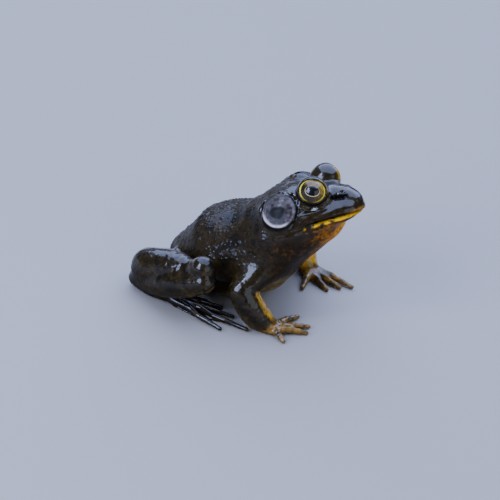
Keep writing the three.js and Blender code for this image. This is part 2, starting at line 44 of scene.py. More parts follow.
TRUNK_TAIL = np.array([-50.0, 0.0, 6.0])
SNOUT, CHIN = 0.9, 2.8
EYE_AT = np.array([21.1, 10.2, 14.3])       # head frame: back, sideways, up
EYE_RADIUS = 7.1
GAZE = np.array([-0.42, 0.84, 0.33]) / np.linalg.norm([-0.42, 0.84, 0.33])
DRUM_AT = np.array([36.4, 19.9, 10.2])
DRUM_OUT = np.array([-0.14, 0.86, 0.49]) / np.linalg.norm([-0.14, 0.86, 0.49])
DRUM_RADIUS = 8.4
LID_HALF = (6.8, 5.95)                      # half the opening's length and height

RIGHT = dict(
    upper_arm=[[9.5, -18, 34, 9.0], [6.5, -26, 27, 7.4], [3.0, -32.5, 20.3, 6.1]],
    forearm=[[3.0, -33, 19.8, 6.2], [6.9, -32, 14.3, 7.3], [11, -30.5, 8.6, 7.0], [14.5, -29, 5.2, 5.4]],
    thigh=[[-34, -10, 8.7, 8.0], [-43.5, -22.5, 9.7, 8.8], [-47.3, -32.5, 13.6, 9.4], [-33, -36, 20.8, 8.6], [-21.6, -40.2, 26.2, 5.2], [-15, -43, 31.4, 6.0]],
    shank=[[-13, -44.8, 25, 6.1], [-24, -43, 18.5, 7.3], [-38, -39, 11.2, 6.8], [-52.3, -32.6, 5.2, 4.8]],
    tarsus=[[-52.3, -32.6, 5.2, 4.8], [-43, -36.2, 4.6, 4.4], [-30, -34.8, 4, 4.0]],
    palm=[20, -26.8, 0],
    fingers=[[26.2, -9.2], [34.5, -14.2], [35.8, -19.8], [29.5, -33.5]],
    knuckles=[[22, -22], [24.5, -23.5], [24.5, -26.5], [22, -29.5]],
    toes=[[-17, -25.5], [-9, -25.5], [-0.5, -29.5], [9.9, -35.5], [-1, -43]],
)
LEFT = dict(
    upper_arm=[[9.5, 18, 34, 9.0], [7.5, 26.5, 27, 7.4], [4.0, 33.5, 20.3, 6.1]],
    forearm=[[4.0, 34, 19.8, 6.2], [6.4, 34, 14.3, 7.2], [8.8, 33.6, 9.2, 6.4], [11.2, 33, 5.2, 5.0]],
    thigh=[[-34.5, 10, 10.5, 9.5], [-36, 22, 9.5, 8.8], [-30, 31, 11, 8.2], [-22, 38, 13.5, 7.4], [-16, 42, 15.8, 6.2], [-12, 44, 17, 5.8]],
    shank=[[-10, 46.5, 12, 6.0], [-20, 46, 9.0, 7.0], [-33, 38, 7.2, 6.4], [-46, 26, 5.3, 4.7]],
    tarsus=[[-46, 26, 5.3, 4.8], [-44, 36, 4.6, 4.4], [-37, 45.5, 4, 4.0]],
    palm=[15.5, 31, 0],
    fingers=[[17.6, 15.8], [28, 22.5], [33, 28], [38, 32.5]],
    knuckles=[[15.5, 27], [18, 27.5], [19.5, 30.5], [18.5, 33.5]],
    toes=[[-18, 43], [-9, 46], [1, 49.5], [6, 55], [-5, 60]],
)

# ------------------------------------------------------------------ camera
A, E, TIP = math.radians(25.0), math.radians(29.0), math.radians(9.0)
_t = np.array([[math.cos(TIP), 0, -math.sin(TIP)], [0, 1, 0], [math.sin(TIP), 0, math.cos(TIP)]])
CAM_BACK = _t @ np.array([math.sin(A) * math.cos(E), -math.cos(A) * math.cos(E), math.sin(E)])
CAM_RIGHT = _t @ np.array([math.cos(A), math.sin(A), 0.0])
CAM_UP = np.cross(CAM_BACK, CAM_RIGHT)
CAM_AIM = np.array([0.0, 0.0, 30.0]) - 8.4 * CAM_RIGHT - 3.85 * CAM_UP
cam_data = bpy.data.cameras.new("camera")
cam_data.sensor_width = 36.0
cam_data.lens = 201.6
cam_data.clip_start, cam_data.clip_end = 0.05, 20.0
cam = bpy.data.objects.new("camera", cam_data)
bpy.context.scene.collection.objects.link(cam)
_p = (CAM_AIM + SHIFT + 1400.0 * CAM_BACK) * 0.001
cam.matrix_world = Matrix([[CAM_RIGHT[i], CAM_UP[i], CAM_BACK[i], _p[i]] for i in range(3)] + [[0, 0, 0, 1]])
bpy.context.scene.camera = cam


# ------------------------------------------------------------------ distance fields
def fade(x, a, b):
    """0 before a, 1 after b, smooth between."""
    t = np.clip((x - a) / (b - a), 0, 1)
    return t * t * (3 - 2 * t)


def smin(a, b, k):
    h = np.maximum(k - np.abs(a - b), 0) / k
    return np.minimum(a, b) - h * h * k * 0.25


def capsule(p, a, b, ra, rb):
    ab = b - a
    q = p - a
    t = np.clip(q @ ab / (ab @ ab), 0, 1)
    q = q - t[:, None] * ab
    return np.sqrt(np.einsum("ij,ij->i", q, q)) - (ra + t * (rb - ra))


def ellipsoid(p, c, r):
    q = (p - np.asarray(c, float)) / np.asarray(r, float)
    k0 = np.sqrt(np.einsum("ij,ij->i", q, q))
    q = q / np.asarray(r, float)
    k1 = np.sqrt(np.einsum("ij,ij->i", q, q))
    return np.where(k1 > 1e-9, k0 * (k0 - 1) / np.maximum(k1, 1e-9), -min(r))


def disc(p, c, n, radius, half, edge):
    q = p - c
    a = q @ n
    x = np.abs(a) - half
    y = np.linalg.norm(q - a[:, None] * n, axis=1) - radius
    return np.minimum(np.maximum(x, y), 0) + np.hypot(np.maximum(x, 0), np.maximum(y, 0)) - edge


def curve(xs, ys):
    """A smooth curve through the points, with no overshoot."""
    xs, ys = np.asarray(xs, float), np.asarray(ys, float)
    dx, m = np.diff(xs), np.zeros(len(xs))
    s = np.diff(ys) / dx
    k = (s[:-1] * dx[1:] + s[1:] * dx[:-1]) / (dx[:-1] + dx[1:])
    k = np.where(s[:-1] * s[1:] <= 0, 0, k)
    m[1:-1] = np.sign(k) * np.minimum(np.abs(k), 3 * np.minimum(np.abs(s[:-1]), np.abs(s[1:])))
    m[0], m[-1] = s[0], s[-1]
    grid = np.linspace(xs[0], xs[-1], 2000)
    i = np.clip(np.searchsorted(xs, grid, side="right") - 1, 0, len(xs) - 2)
    u, h = (grid - xs[i]) / dx[i], dx[i]
    tab = (2 * u**3 - 3 * u**2 + 1) * ys[i] + (u**3 - 2 * u**2 + u) * h * m[i] + (-2 * u**3 + 3 * u**2) * ys[i + 1] + (u**3 - u**2) * h * m[i + 1]
    return lambda t: np.interp(t, grid, tab)


def rounded(xs, ys, start=SNOUT):
    c = curve(np.sqrt(np.maximum(np.asarray(xs, float) - start, 0)), ys)
    return lambda x: c(np.sqrt(np.maximum(x - start, 0)))


def profile_body(q, x0, x1, w, top, bottom, middle, n_top, n_bottom):
    x = np.clip(q[:, 0], x0, x1)
    over = np.abs(q[:, 0] - x)
    y, W, M = np.abs(q[:, 1]), np.maximum(w(x), 1e-3), middle(x)
    up = q[:, 2] > M
    H = np.maximum(np.where(up, top(x) - M, M - bottom(x)), 1e-3)
    n, z = np.where(up, n_top, n_bottom), np.abs(q[:, 2] - M)
    k = ((y / W) ** n + (z / H) ** n) ** (1 / n)
    d = np.hypot(y, z) * (1 - 1 / np.maximum(k, 1e-6))
    d = np.where(k < 1e-3, -np.minimum(W, H), d)
    return np.where(over > 0, np.sqrt(np.maximum(d, 0) ** 2 + over**2), d)


def axes(pitch, roll=0.0, yaw=0.0):
    """Forward, left and up of a part that is pitched, then rolled, then turned to its left."""
    c, s = math.cos(pitch), math.sin(pitch)
    x, y, z = np.array([c, 0, s]), np.array([0.0, 1, 0]), np.array([-s, 0, c])
    y, z = y * math.cos(roll) - z * math.sin(roll), z * math.cos(roll) + y * math.sin(roll)
    return np.array([x * math.cos(yaw) + y * math.sin(yaw), y * math.cos(yaw) - x * math.sin(yaw), z])


HM, TM = axes(HEAD_PITCH, HEAD_ROLL, HEAD_YAW), axes(TRUNK_PITCH)
BACKWARD = np.array([-1.0, 1, 1])


def to_head(p):
    return ((p - HEAD_TIP) @ HM.T) * BACKWARD


def from_head(q):
    return HEAD_TIP + (np.asarray(q, float) * BACKWARD) @ HM


def head_way(v):
    return (np.asarray(v, float) * BACKWARD) @ HM


lip_half = rounded([SNOUT, 1.9, 3.9, 7, 11.4, 16.7, 22, 32, 39.5, 47, 56], [0, 3.8, 7.1, 10.0, 12.6, 15.2, 17.4, 20.6, 22.0, 21.2, 15])
lip_top = rounded([SNOUT, 1.7, 3.4, 6, 10, 20, 30, 40, 56], [1.6, 3.4, 4.8, 6.0, 7.0, 9.0, 11.0, 11.5, 8])
roof_half = rounded([SNOUT, 2, 4.3, 8, 12.5, 16.9, 23, 31.5, 41.5, 48.5, 56], [0, 3.3, 5.0, 6.5, 7.7, 8.7, 10.2, 13.2, 14.2, 13.2, 10])
roof_top = rounded([SNOUT, 2, 4, 7.5, 12, 16.5, 22.5, 31, 41, 48, 56], [1.6, 5.8, 8.4, 11.1, 13.0, 14.2, 15.2, 15.8, 15.2, 13.0, 8])
mouth = rounded([SNOUT, 2.5, 10, 20, 30, 40, 56], [-1.3, -0.9, 0.0, 0.1, -0.3, -1.6, -3])
jaw_half = rounded([CHIN, 3.9, 5.9, 8.8, 14.5, 20.5, 31, 39.5, 47, 56], [0, 5.0, 8.7, 11.4, 14.2, 16.8, 20.2, 21.5, 20.8, 15], CHIN)
jaw_bottom = rounded([CHIN, 4, 6.4, 9.9, 14.2, 15.6, 17, 20, 24, 30, 40, 56], [-1.7, -2.6, -3.7, -4.7, -5.8, -8.0, -10.8, -12.8, -14.7, -17.4, -21.2, -27], CHIN)
_x = [0, 4, 10, 20, 30, 40, 50, 60, 70, 80]
trunk_half = curve(_x, [4, 8.5, 13.5, 20.5, 26.5, 29.5, 29.5, 27.5, 25, 20])
trunk_top = curve(_x, [1.5, 4.2, 6.4, 9.7, 14.0, 12.8, 10.0, 8.9, 9.5, 8])
trunk_bottom = curve(_x, [-4, -9.5, -16, -25, -31, -33.8, -34, -30, -23, -14])
trunk_middle = curve([0, 20, 40, 60, 80], [-3, -6, -10, -10, -7])
FOLD = [[28.6, 11.6, 14.6, 1.2], [36.2, 12.4, 16.0, 1.4], [40.2, 15.6, 15.8, 1.4], [43.3, 16.7, 14.0, 1.5], [45.8, 17.6, 11.4, 1.6], [46.6, 18.6, 6.5, 1.6]]


def eye_frame(side):
    """Centre and axes of an eye in the working frame: along the mouth, up, out."""
    z = head_way(GAZE * [1, side, 1])
    x = np.cross([0.0, 0, 1], z) * (-side)
    x = x / np.linalg.norm(x)
    y = np.cross(z, x) if side < 0 else np.cross(x, z)
    return from_head(EYE_AT * [1, side, 1]), x, y, z


LID_EYES = {s: eye_frame(s) for s in (-1, 1)}


def lids(p, side):
    """A skin close over the ball, open in an oval round the gaze, with a rolled edge."""
    c, x, y, z = LID_EYES[side]
    q = p - c
    u, v, w = q @ x, q @ y, q @ z
    r = np.sqrt(u * u + v * v + w * w)
    cover = r - (EYE_RADIUS + 0.38 + 0.30 * fade(v, -2.0, 5.0))
    e = np.sqrt((u / LID_HALF[0]) ** 2 + ((v + 0.1) / LID_HALF[1]) ** 2)
    hole = np.where(w > -1.0, (1.0 - e) * 5.9, -5.0)
    k = 0.5
    h = np.maximum(k - np.abs(cover - hole), 0) / k
    d = np.maximum(cover, hole) + h * h * k * 0.25
    bead = np.hypot((e - 1.05) * 6.0, r - (EYE_RADIUS + 0.25)) - 0.36
    return np.where(w > 0, smin(d, bead, 0.35), d)


def near(p, centre, radius, margin, fn):
    """fn(p) close to a ball, and the distance to the ball elsewhere."""
    q = p - centre
    out = np.sqrt(np.einsum("ij,ij->i", q, q)) - radius
    m = out < margin
    if m.any():
        out[m] = fn(p[m])
    return out


def head_field(p):
    q = to_head(p)
    lip = profile_body(q, SNOUT, 56, lip_half, lip_top, lambda x: mouth(x) - 0.15, lambda x: mouth(x) + 1.9, 2.2, 2.6)
    roof = profile_body(q, SNOUT, 56, roof_half, roof_top, lambda x: 0 * x - 0.5, lambda x: 0 * x + 3.0, 2.7, 2.0)
    d = smin(lip, roof, np.clip(0.8 * (q[:, 0] - SNOUT), 0.6, 5.0))
    for s in (-1, 1):
        m = np.array([1, s, 1])
        d = smin(d, ellipsoid(q, np.array([22, 7.8, 10.4]) * m, (8.6, 6.4, 6.2)), 3.0)
        d = smin(d, ellipsoid(q, (EYE_AT - GAZE * 1.6 + [0.9, 0, -0.3]) * m, (7.4, 7.2, 7.1)), 1.6)
        d = smin(d, ellipsoid(q, np.array([37.5, 13.8, 6.5]) * m, (12.5, 8.4, 8.6)), 4.0)
        f = None
        for a, b in zip(FOLD[:-1], FOLD[1:]):
            g = capsule(q, np.array(a[:3]) * m, np.array(b[:3]) * m, a[3], b[3])
            f = g if f is None else smin(f, g, 1.0)
        d = smin(d, f, 1.6)
        d = smin(d, disc(q, DRUM_AT * m, DRUM_OUT * m, 8.2, 0.4, 0.7), 1.2)
        a = (q - DRUM_AT * m) @ (DRUM_OUT * m)
        r = np.linalg.norm(q - DRUM_AT * m - a[:, None] * (DRUM_OUT * m), axis=1)
        d = -smin(-d, np.maximum(r - 8.2, 1.0 - a), 0.6)
        d = smin(d, near(p, LID_EYES[s][0], EYE_RADIUS + 1.2, 3.0, lambda k: lids(k, s)), 0.7)
    jaw = profile_body(q, CHIN, 56, jaw_half, lambda x: mouth(x) + 0.15, jaw_bottom, lambda x: mouth(x) - 1.6, 2.0, 2.3)
    d = smin(d, jaw, np.clip(0.8 + 0.4 * (q[:, 0] - CHIN), 0.8, 3.4) + 7.0 * fade(q[:, 0], 22.0, 36.0))
    for s in (-1, 1):
        m = np.array([1, s, 1])
        cheek = np.minimum(capsule(q, np.array([25.0, 15.6, 0.2]) * m, np.array([34.0, 17.8, -1.2]) * m, 2.6, 3.6), capsule(q, np.array([34.0, 17.8, -1.2]) * m, np.array([46.0, 18.0, -3.0]) * m, 3.6, 4.4))
        d = smin(d, cheek, 3.0)
    return smin(d, ellipsoid(q, (42, 0, -9), (15, 19, 11)), 3.0)


def trunk_field(p):
    return profile_body((p - TRUNK_TAIL) @ TM.T, 0, 80, trunk_half, trunk_top, trunk_bottom, trunk_middle, 2.1, 2.3)


def chain(stations, steps=4):
    S, out = np.array(stations, float), []
    for i in range(len(S) - 1):
        a, b, c, d = S[max(i - 1, 0)], S[i], S[i + 1], S[min(i + 2, len(S) - 1)]
        for j in range(steps):
            t = j / steps
            out.append(0.5 * (2 * b + (c - a) * t + (2 * a - 5 * b + 4 * c - d) * t * t + (3 * b - a - 3 * c + d) * t**3))
    return np.array(out + [S[-1]])


def chain_field(ch):
    c = ch[:, :3].mean(0)
    r = (np.linalg.norm(ch[:, :3] - c, axis=1) + ch[:, 3]).max()

    def inner(p):
        d = None
        for a, b in zip(ch[:-1], ch[1:]):
            g = capsule(p, a[:3], b[:3], a[3], b[3])
            d = g if d is None else np.minimum(d, g)
        return d

    return lambda p: near(p, c, r, 7.0, inner)


def digit_chain(base, tip, thick):
    """Stations of a finger or toe: swollen a little at its joints and tip."""
    u = tip - base
    z = [base[2], base[2] + 0.3, max(base[2] + 0.3, 2.0), 1.9, 1.7, 1.3, 1.0]
    t = [0, 0.2, 0.36, 0.53, 0.70, 0.86, 1.0]
    r = [2.3, 1.75, 1.85, 1.4, 1.5, 1.08, 1.08]
    return np.array([[*(base + u * k)[:2], h, w * thick] for k, h, w in zip(t, z, r)])


def toe_bases(L):
    mid, end = np.array(L["tarsus"][-2][:3], float), np.array(L["tarsus"][-1][:3], float)
    ax = end - mid
    ax[2] = 0
    ax /= np.linalg.norm(ax)
    side = np.array([-ax[1], ax[0], 0]) * np.sign(end[1])
    out = [end + side * (i / 4 - 0.5) * 6.5 for i in range(5)]
    for b in out:
        b[2] = 3.4
    return out


def web_outline(L):
    b, reach = toe_bases(L), [0.8, 0.8, 0.78, 0.72, 0.8]
    on = lambda i, k: b[i][:2] + (np.array(L["toes"][i], float) - b[i][:2]) * k
    pts = [on(0, 0)]
    for i in range(5):
        pts.append(on(i, reach[i]))
        if i < 4:
            a, c = on(i, reach[i] * 0.66), on(i + 1, reach[i + 1] * 0.66)
            p, q, m = on(i, reach[i]), on(i + 1, reach[i + 1]), (a + c) / 2
            pts += [p * 0.36 + m * 0.55 + (p + q) / 2 * 0.09, m, q * 0.36 + m * 0.55 + (p + q) / 2 * 0.09]
    return np.array(pts + [on(4, 0)])


def polygon(xy, poly):
    d = np.full(len(xy), 1e18)
    inside = np.zeros(len(xy), bool)
    for a, b in zip(poly, np.roll(poly, -1, 0)):
        e, w = b - a, xy - a
        t = np.clip(w @ e / (e @ e), 0, 1)
        q = w - t[:, None] * e
        d = np.minimum(d, (q * q).sum(1))
        c1, c2, c3 = xy[:, 1] >= a[1], xy[:, 1] < b[1], e[0] * w[:, 1] > e[1] * w[:, 0]
        inside ^= (c1 & c2 & c3) | (~c1 & ~c2 & ~c3)
    return np.where(inside, -1, 1) * np.sqrt(d)


class Side:
    def __init__(self, L):
        self.upper_arm, self.forearm = chain_field(chain(L["upper_arm"])), chain_field(chain(L["forearm"]))
        self.thigh, self.shank, self.tarsus = (chain_field(chain(L[k])) for k in ("thigh", "shank", "tarsus"))
        self.wrist, self.palm = np.array(L["forearm"][-1], float), np.array(L["palm"], float)
        self.fingers = [chain_field(digit_chain(np.array([*k, 2.3]), np.array([*t, 1.0]), 1.0)) for t, k in zip(L["fingers"], L["knuckles"])]
        self.bases = toe_bases(L)
        self.toes = [chain_field(digit_chain(b, np.array([*t, 1.0]), 0.95)) for b, t in zip(self.bases, L["toes"])]
        self.web = web_outline(L)
        self.web_at = np.array([*self.web.mean(0), 0.0])
        self.web_r = np.linalg.norm(self.web - self.web.mean(0), axis=1).max() + 1

    def hand(self, p):
        def inner(p):
            d = capsule(p, self.wrist[:3], self.palm + [0, 0, 2.8], self.wrist[3] - 0.2, 3.4)
            d = smin(d, ellipsoid(p, self.palm + [0, 0, 1.6], (5.4, 5.4, 3.2)), 2.0)
            for f in self.fingers:
                d = smin(d, f(p), 1.3)
            return d
        return near(p, self.palm + [5, 0, 2], 26.0, 7.0, inner)

    def foot(self, p):
        def inner(p):
            d = None
            for f in self.toes:
                g = f(p)
                d = g if d is None else smin(d, g, 1.2)
            w = near(p, self.web_at, self.web_r, 4.0, lambda k: np.maximum(polygon(k[:, :2], self.web), np.abs(k[:, 2] - 0.42) - 0.42) - 0.12)
            return smin(d, w, 0.7)
        return near(p, self.web_at, self.web_r + 9, 7.0, inner)

    def join(self, d, p):
        d = smin(d, self.upper_arm(p), 6.0)
        d = smin(d, smin(self.forearm(p), self.hand(p), 3.0), 2.0)
        d = smin(d, self.thigh(p), 4.0)
        d = smin(d, self.shank(p), 1.6)
        return smin(d, smin(self.tarsus(p), self.foot(p), 2.0), 0.8)


SIDES = [Side(RIGHT), Side(LEFT)]


def field(p):
    d = smin(near(p, from_head([30, 0, -2]), 42.0, 14.0, head_field), near(p, np.array([-14.0, 0, 24]), 50.0, 14.0, trunk_field), 13.0)
    for s in SIDES:
        d = s.join(d, p)
    return d


def chunked(fn, p, size=250000):
    return np.concatenate([fn(p[i:i + size]) for i in range(0, len(p), size)]) if len(p) else np.zeros(0)


# ------------------------------------------------------------------ the skin's mesh
def sample(lo, hi, h):
    """The field on a grid, worked out only near the surface."""
    k = 8
    n = [int(math.ceil((hi[i] - lo[i]) / (h * k))) * k for i in range(3)]
    shape = [v // k + 1 for v in n]
    ax = [lo[i] + np.arange(shape[i]) * h * k for i in range(3)]
    F = chunked(field, np.stack(np.meshgrid(*ax, indexing="ij"), -1).reshape(-1, 3)).reshape(shape)
    step = k
    while step > 1:
        new = step // 2
        cut = [slice(None, None)] * 3
        G = np.repeat(np.repeat(np.repeat(F, 2, 0), 2, 1), 2, 2)
        shape2 = [v // new + 1 for v in n]
        G = G[:shape2[0], :shape2[1], :shape2[2]].copy()
        close = np.abs(F) < step * h * (2.0 if step == k else 1.9)
        grown = close.copy()
        for a in range(3):
            grown |= np.roll(grown, 1, a) | np.roll(grown, -1, a)
        M = np.repeat(np.repeat(np.repeat(grown, 2, 0), 2, 1), 2, 2)[:shape2[0], :shape2[1], :shape2[2]]
        idx = np.argwhere(M)
        G[tuple(idx.T)] = chunked(field, np.asarray(lo) + idx * (h * new))
        F, step = G, new
    return F


def surface_nets(F, origin, h):
    S = F < 0
    nx, ny, nz = F.shape
    corners = [(i, j, k) for i in (0, 1) for j in (0, 1) for k in (0, 1)]
    count = sum(S[i:nx - 1 + i, j:ny - 1 + j, k:nz - 1 + k].astype(np.int8) for i, j, k in corners)
    active = (count > 0) & (count < 8)
    index = -np.ones(active.shape, np.int64)
    ids = np.argwhere(active)
    index[active] = np.arange(len(ids))
    I, J, K = ids.T
    vals = {c: F[I + c[0], J + c[1], K + c[2]] for c in corners}
    P, W = np.zeros((len(ids), 3)), np.zeros(len(ids))
    for a in corners:
        for ax in range(3):
            if a[ax] == 0:
                b = list(a)
                b[ax] = 1
                fa, fb = vals[a], vals[tuple(b)]
                m = (fa < 0) != (fb < 0)
                p = np.repeat(np.array(a, float)[None], len(ids), 0)
                p[:, ax] = np.where(m, fa / np.where(m, fa - fb, 1), 0)
                P += p * m[:, None]
                W += m
    V = (ids + P / W[:, None]) * h + np.asarray(origin)
    quads = []
    for ax in range(3):
        s0, s1 = [slice(None)] * 3, [slice(None)] * 3
        s0[ax], s1[ax] = slice(0, -1), slice(1, None)
        e = np.argwhere(S[tuple(s0)] != S[tuple(s1)])
        o = [i for i in range(3) if i != ax]
        e = e[(e[:, o[0]] > 0) & (e[:, o[1]] > 0) & (e[:, o[0]] < F.shape[o[0]] - 1) & (e[:, o[1]] < F.shape[o[1]] - 1)]

        def cell(du, dv):
            q = e.copy()
            q[:, o[0]] += du
            q[:, o[1]] += dv
            return index[q[:, 0], q[:, 1], q[:, 2]]
        quads.append(np.stack([cell(-1, -1), cell(0, -1), cell(0, 0), cell(-1, 0)], 1))
    return V, np.concatenate(quads)


def gradient(p, e=0.12):
    k = np.array([[1, -1, -1], [-1, -1, 1], [-1, 1, -1], [1, 1, 1]], float)
    g = sum(k[i] * chunked(field, p + k[i] * e)[:, None] for i in range(4)) / (4 * e)
    n = np.linalg.norm(g, axis=1)
    return g / np.maximum(n, 1e-9)[:, None], n


def face_normals(V, Q):
    return np.cross(V[Q[:, 2]] - V[Q[:, 0]], V[Q[:, 3]] - V[Q[:, 1]])


def vertex_normals(V, Q):
    f, n = face_normals(V, Q), np.zeros_like(V)
    for j in range(4):
        for a in range(3):
            n[:, a] += np.bincount(Q[:, j], f[:, a], len(V))
    return n / np.maximum(np.linalg.norm(n, axis=1, keepdims=True), 1e-12)


def smooth(V, Q, rounds, weight):
    """Laplacian smoothing, weight per vertex."""
    for _ in range(rounds):
        s, c = np.zeros_like(V), np.zeros(len(V))
        for j in range(4):
            for o in (1, 3):
                b = Q[:, (j + o) % 4]
                c += np.bincount(Q[:, j], minlength=len(V))
                for a in range(3):
                    s[:, a] += np.bincount(Q[:, j], V[b, a], len(V))
        V = V + (s / np.maximum(c, 1)[:, None] - V) * weight[:, None]
    return V


LO, HI = np.array([-61.0, -56.0, -3.0]), np.array([51.0, 66.0, 85.0])
V, Q = surface_nets(sample(LO, HI, STEP), LO, STEP)
G, GN = gradient(V)
V = V - G * np.clip(chunked(field, V) / np.maximum(GN, 0.3), -STEP, STEP)[:, None]
flip = np.einsum("ij,ij->i", face_normals(V, Q), G[Q[:, 0]]) < 0
Q[flip] = Q[flip][:, ::-1]

q = to_head(V)
S_, Y_, Z_ = q[:, 0], np.abs(q[:, 1]), q[:, 2]
SIDE = np.where(q[:, 1] < 0, -1.0, 1.0)


def bell(x, w):
    return np.exp(-((x / w) ** 2))


def segment(p, a, b):
    a, b = np.asarray(a, float), np.asarray(b, float)
    t = np.clip((p - a) @ (b - a) / ((b - a) @ (b - a)), 0, 1)
    return np.linalg.norm(p - a - t[:, None] * (b - a), axis=1), t


on_head = fade(-S_, -52, -44)                       # 1 on the head, 0 on the trunk
low = fade(-V[:, 2], -7.0, -3.5)                    # hands and feet
jaw_side = fade(S_, 24, 30) * fade(-S_, -52, -46) * fade(Z_ - mouth(S_), -10, -7) * fade(-(Z_ - mouth(S_)), -3.0, -1.0)
V = smooth(V, Q, 5, 0.5 * (1 - 0.75 * on_head * (1 - jaw_side)) * (1 - 0.8 * low))
V = smooth(V, Q, 14, 0.55 * jaw_side)
N = vertex_normals(V, Q)

mirror = np.stack([S_, Y_, Z_], 1)                  # head frame, folded onto one side
# eye frame of each vertex
eye_u, eye_v, eye_w = np.zeros(len(V)), np.zeros(len(V)), np.zeros(len(V))
for s in (-1, 1):
    c, x, y, z = eye_frame(s)
    m = SIDE == s
    d = V[m] - c
    eye_u[m], eye_v[m], eye_w[m] = d @ x, d @ y, d @ z
eye_r = np.hypot(eye_u, eye_v * 1.1)
by_eye = fade(eye_w, -3.5, 0.0) * fade(-eye_w, -9.5, -8.0) * fade(-eye_r, -13, -10)
# tympanum frame
dq = mirror - DRUM_AT
da = dq @ DRUM_OUT
dr = np.linalg.norm(dq - da[:, None] * DRUM_OUT, axis=1)
by_drum = fade(-np.abs(da - 1.0), -5.0, -3.0)
ux = np.cross([0, 0, 1.0], DRUM_OUT)
ux /= np.linalg.norm(ux)
uy = np.cross(DRUM_OUT, ux)
uyd = dq @ uy
dth = np.arctan2(uyd, dq @ ux)

# ------------------------------------------------------------------ relief of the skin
D = np.zeros(len(V))
seam = Z_ - mouth(S_)
on_lips = fade(-S_, -34, -26)
D += on_lips * (-0.20 * bell(seam, 0.34) + 0.26 * bell(seam - 1.3, 0.8) + 0.04 * bell(seam + 1.1, 0.6) - 0.20 * bell(seam + 2.5, 0.45) * fade(-S_, -34, -22))
# ridge along the upper lip's top, from the snout back under the eye
rd, rt = segment(mirror, [29.5, 21.4, 4.9], [15.5, 12.4, 6.5])
D += 0.45 * bell(rd, 1.1) - 0.25 * bell(rd - 2.2, 0.8)
# nostril and the groove behind it
NOSTRIL = np.array([7.9, 4.9, 10.0])
nd = mirror - NOSTRIL
nr = np.sqrt((nd[:, 0] / 1.25) ** 2 + (nd[:, 1] / 0.85) ** 2 + (nd[:, 2] / 0.85) ** 2)
D += -1.0 * bell(nr, 0.75) + 0.26 * bell(nr - 1.6, 0.5)
gd, gt = segment(mirror, [12.4, 8.5, 9.1], [6.6, 5.2, 7.9])
notch = Z_ - (9.1 - 1.2 * gt)                       # the groove's floor slopes in under the ridge
D += -0.85 * fade(gt, 0.0, 0.15) * fade(-gt, -1.0, -0.85) * fade(-gd, -2.8, -1.9) * fade(-notch, -1.1, 0.8) * fade(notch, -1.7, -1.0)
cd, ct = segment(mirror, [13.8, 8.3, 12.6], [8.0, 4.4, 11.8])
D += 0.30 * bell(cd, 1.0)
# eyelids: a crease round the lids, a fold below and behind
D += by_eye * (-0.25 * bell(eye_r - 8.3, 0.4) * fade(-eye_v, -3.0, 2.0) + 0.25 * bell(eye_r - 9.2, 0.6) * fade(-eye_v, -1.5, 2.5) - 0.30 * bell(eye_r - 10.3, 0.45) * fade(-eye_v, 0.0, 3.0))
fd, ft = segment(mirror, [27.2, 15.6, 14.6], [28.4, 17.4, 9.5])
D += -0.35 * bell(fd, 0.6) + 0.2 * bell(fd - 1.2, 0.6)
# the fold from the eye over the tympanum: a clean ridge
fold_d = np.min([segment(mirror, a[:3], b[:3])[0] - (a[3] + b[3]) / 2 for a, b in zip(FOLD[:-1], FOLD[1:])], 0)
on_fold = on_head * fade(-fold_d, -1.6, -0.5)
D += 0.22 * on_head * bell(fold_d, 0.8) * fade(S_, 27, 30)
# tympanum: rim, sunk ring with fine rays, raised middle, and the crease round it
D += by_drum * (0.14 * bell(dr - 8.0, 0.6) - 0.10 * fade(-dr, -7.8, -6.8) + 0.45 * np.clip(1 - (dr / 8.0) ** 2, 0, 1) + 0.10 * bell(dr, 3.0) - (0.35 + 0.65 * fade(uyd, -2.0, 5.0)) * bell(dr - 9.3, 0.55) + 0.15 * bell(dr - 10.8, 0.7))


def hashed(c, salt):
    """A steady pseudo-random number from 0 to 1 for each cell."""
    v = np.sin(c[:, 0] * 127.1 + c[:, 1] * 311.7 + c[:, 2] * 74.7 + salt * 53.3) * 43758.5453
    return v - np.floor(v)


def warts(p, cell, radius, keep, salt):
    """Low round bumps scattered over space, one to a cell."""
    base, out = np.floor(p / cell), np.zeros(len(p))
    for i in (-1, 0, 1):
        for j in (-1, 0, 1):
            for k in (-1, 0, 1):
                c = base + [i, j, k]
                at = (c + 0.15 + 0.7 * np.stack([hashed(c, salt + n) for n in (1, 2, 3)], 1)) * cell
                size = radius * (0.6 + 0.6 * hashed(c, salt + 4))
                on = hashed(c, salt + 5) < keep
                t = np.clip(1 - (((p - at) ** 2).sum(1)) / size**2, 0, 1)
                out = np.maximum(out, np.where(on, t * t * (0.55 + 0.45 * hashed(c, salt + 6)), 0))
    return out


def noise(p, scale, salt):
    """Smooth value noise from -1 to 1, scale in millimetres."""
    x = p / scale
    b = np.floor(x)
    f = x - b
    f = f * f * (3 - 2 * f)
    out = np.zeros(len(p))
    for i in (0, 1):
        for j in (0, 1):
            for k in (0, 1):
                w = np.where(i, f[:, 0], 1 - f[:, 0]) * np.where(j, f[:, 1], 1 - f[:, 1]) * np.where(k, f[:, 2], 1 - f[:, 2])
                out += w * hashed(b + [i, j, k], salt)
    return out * 2 - 1


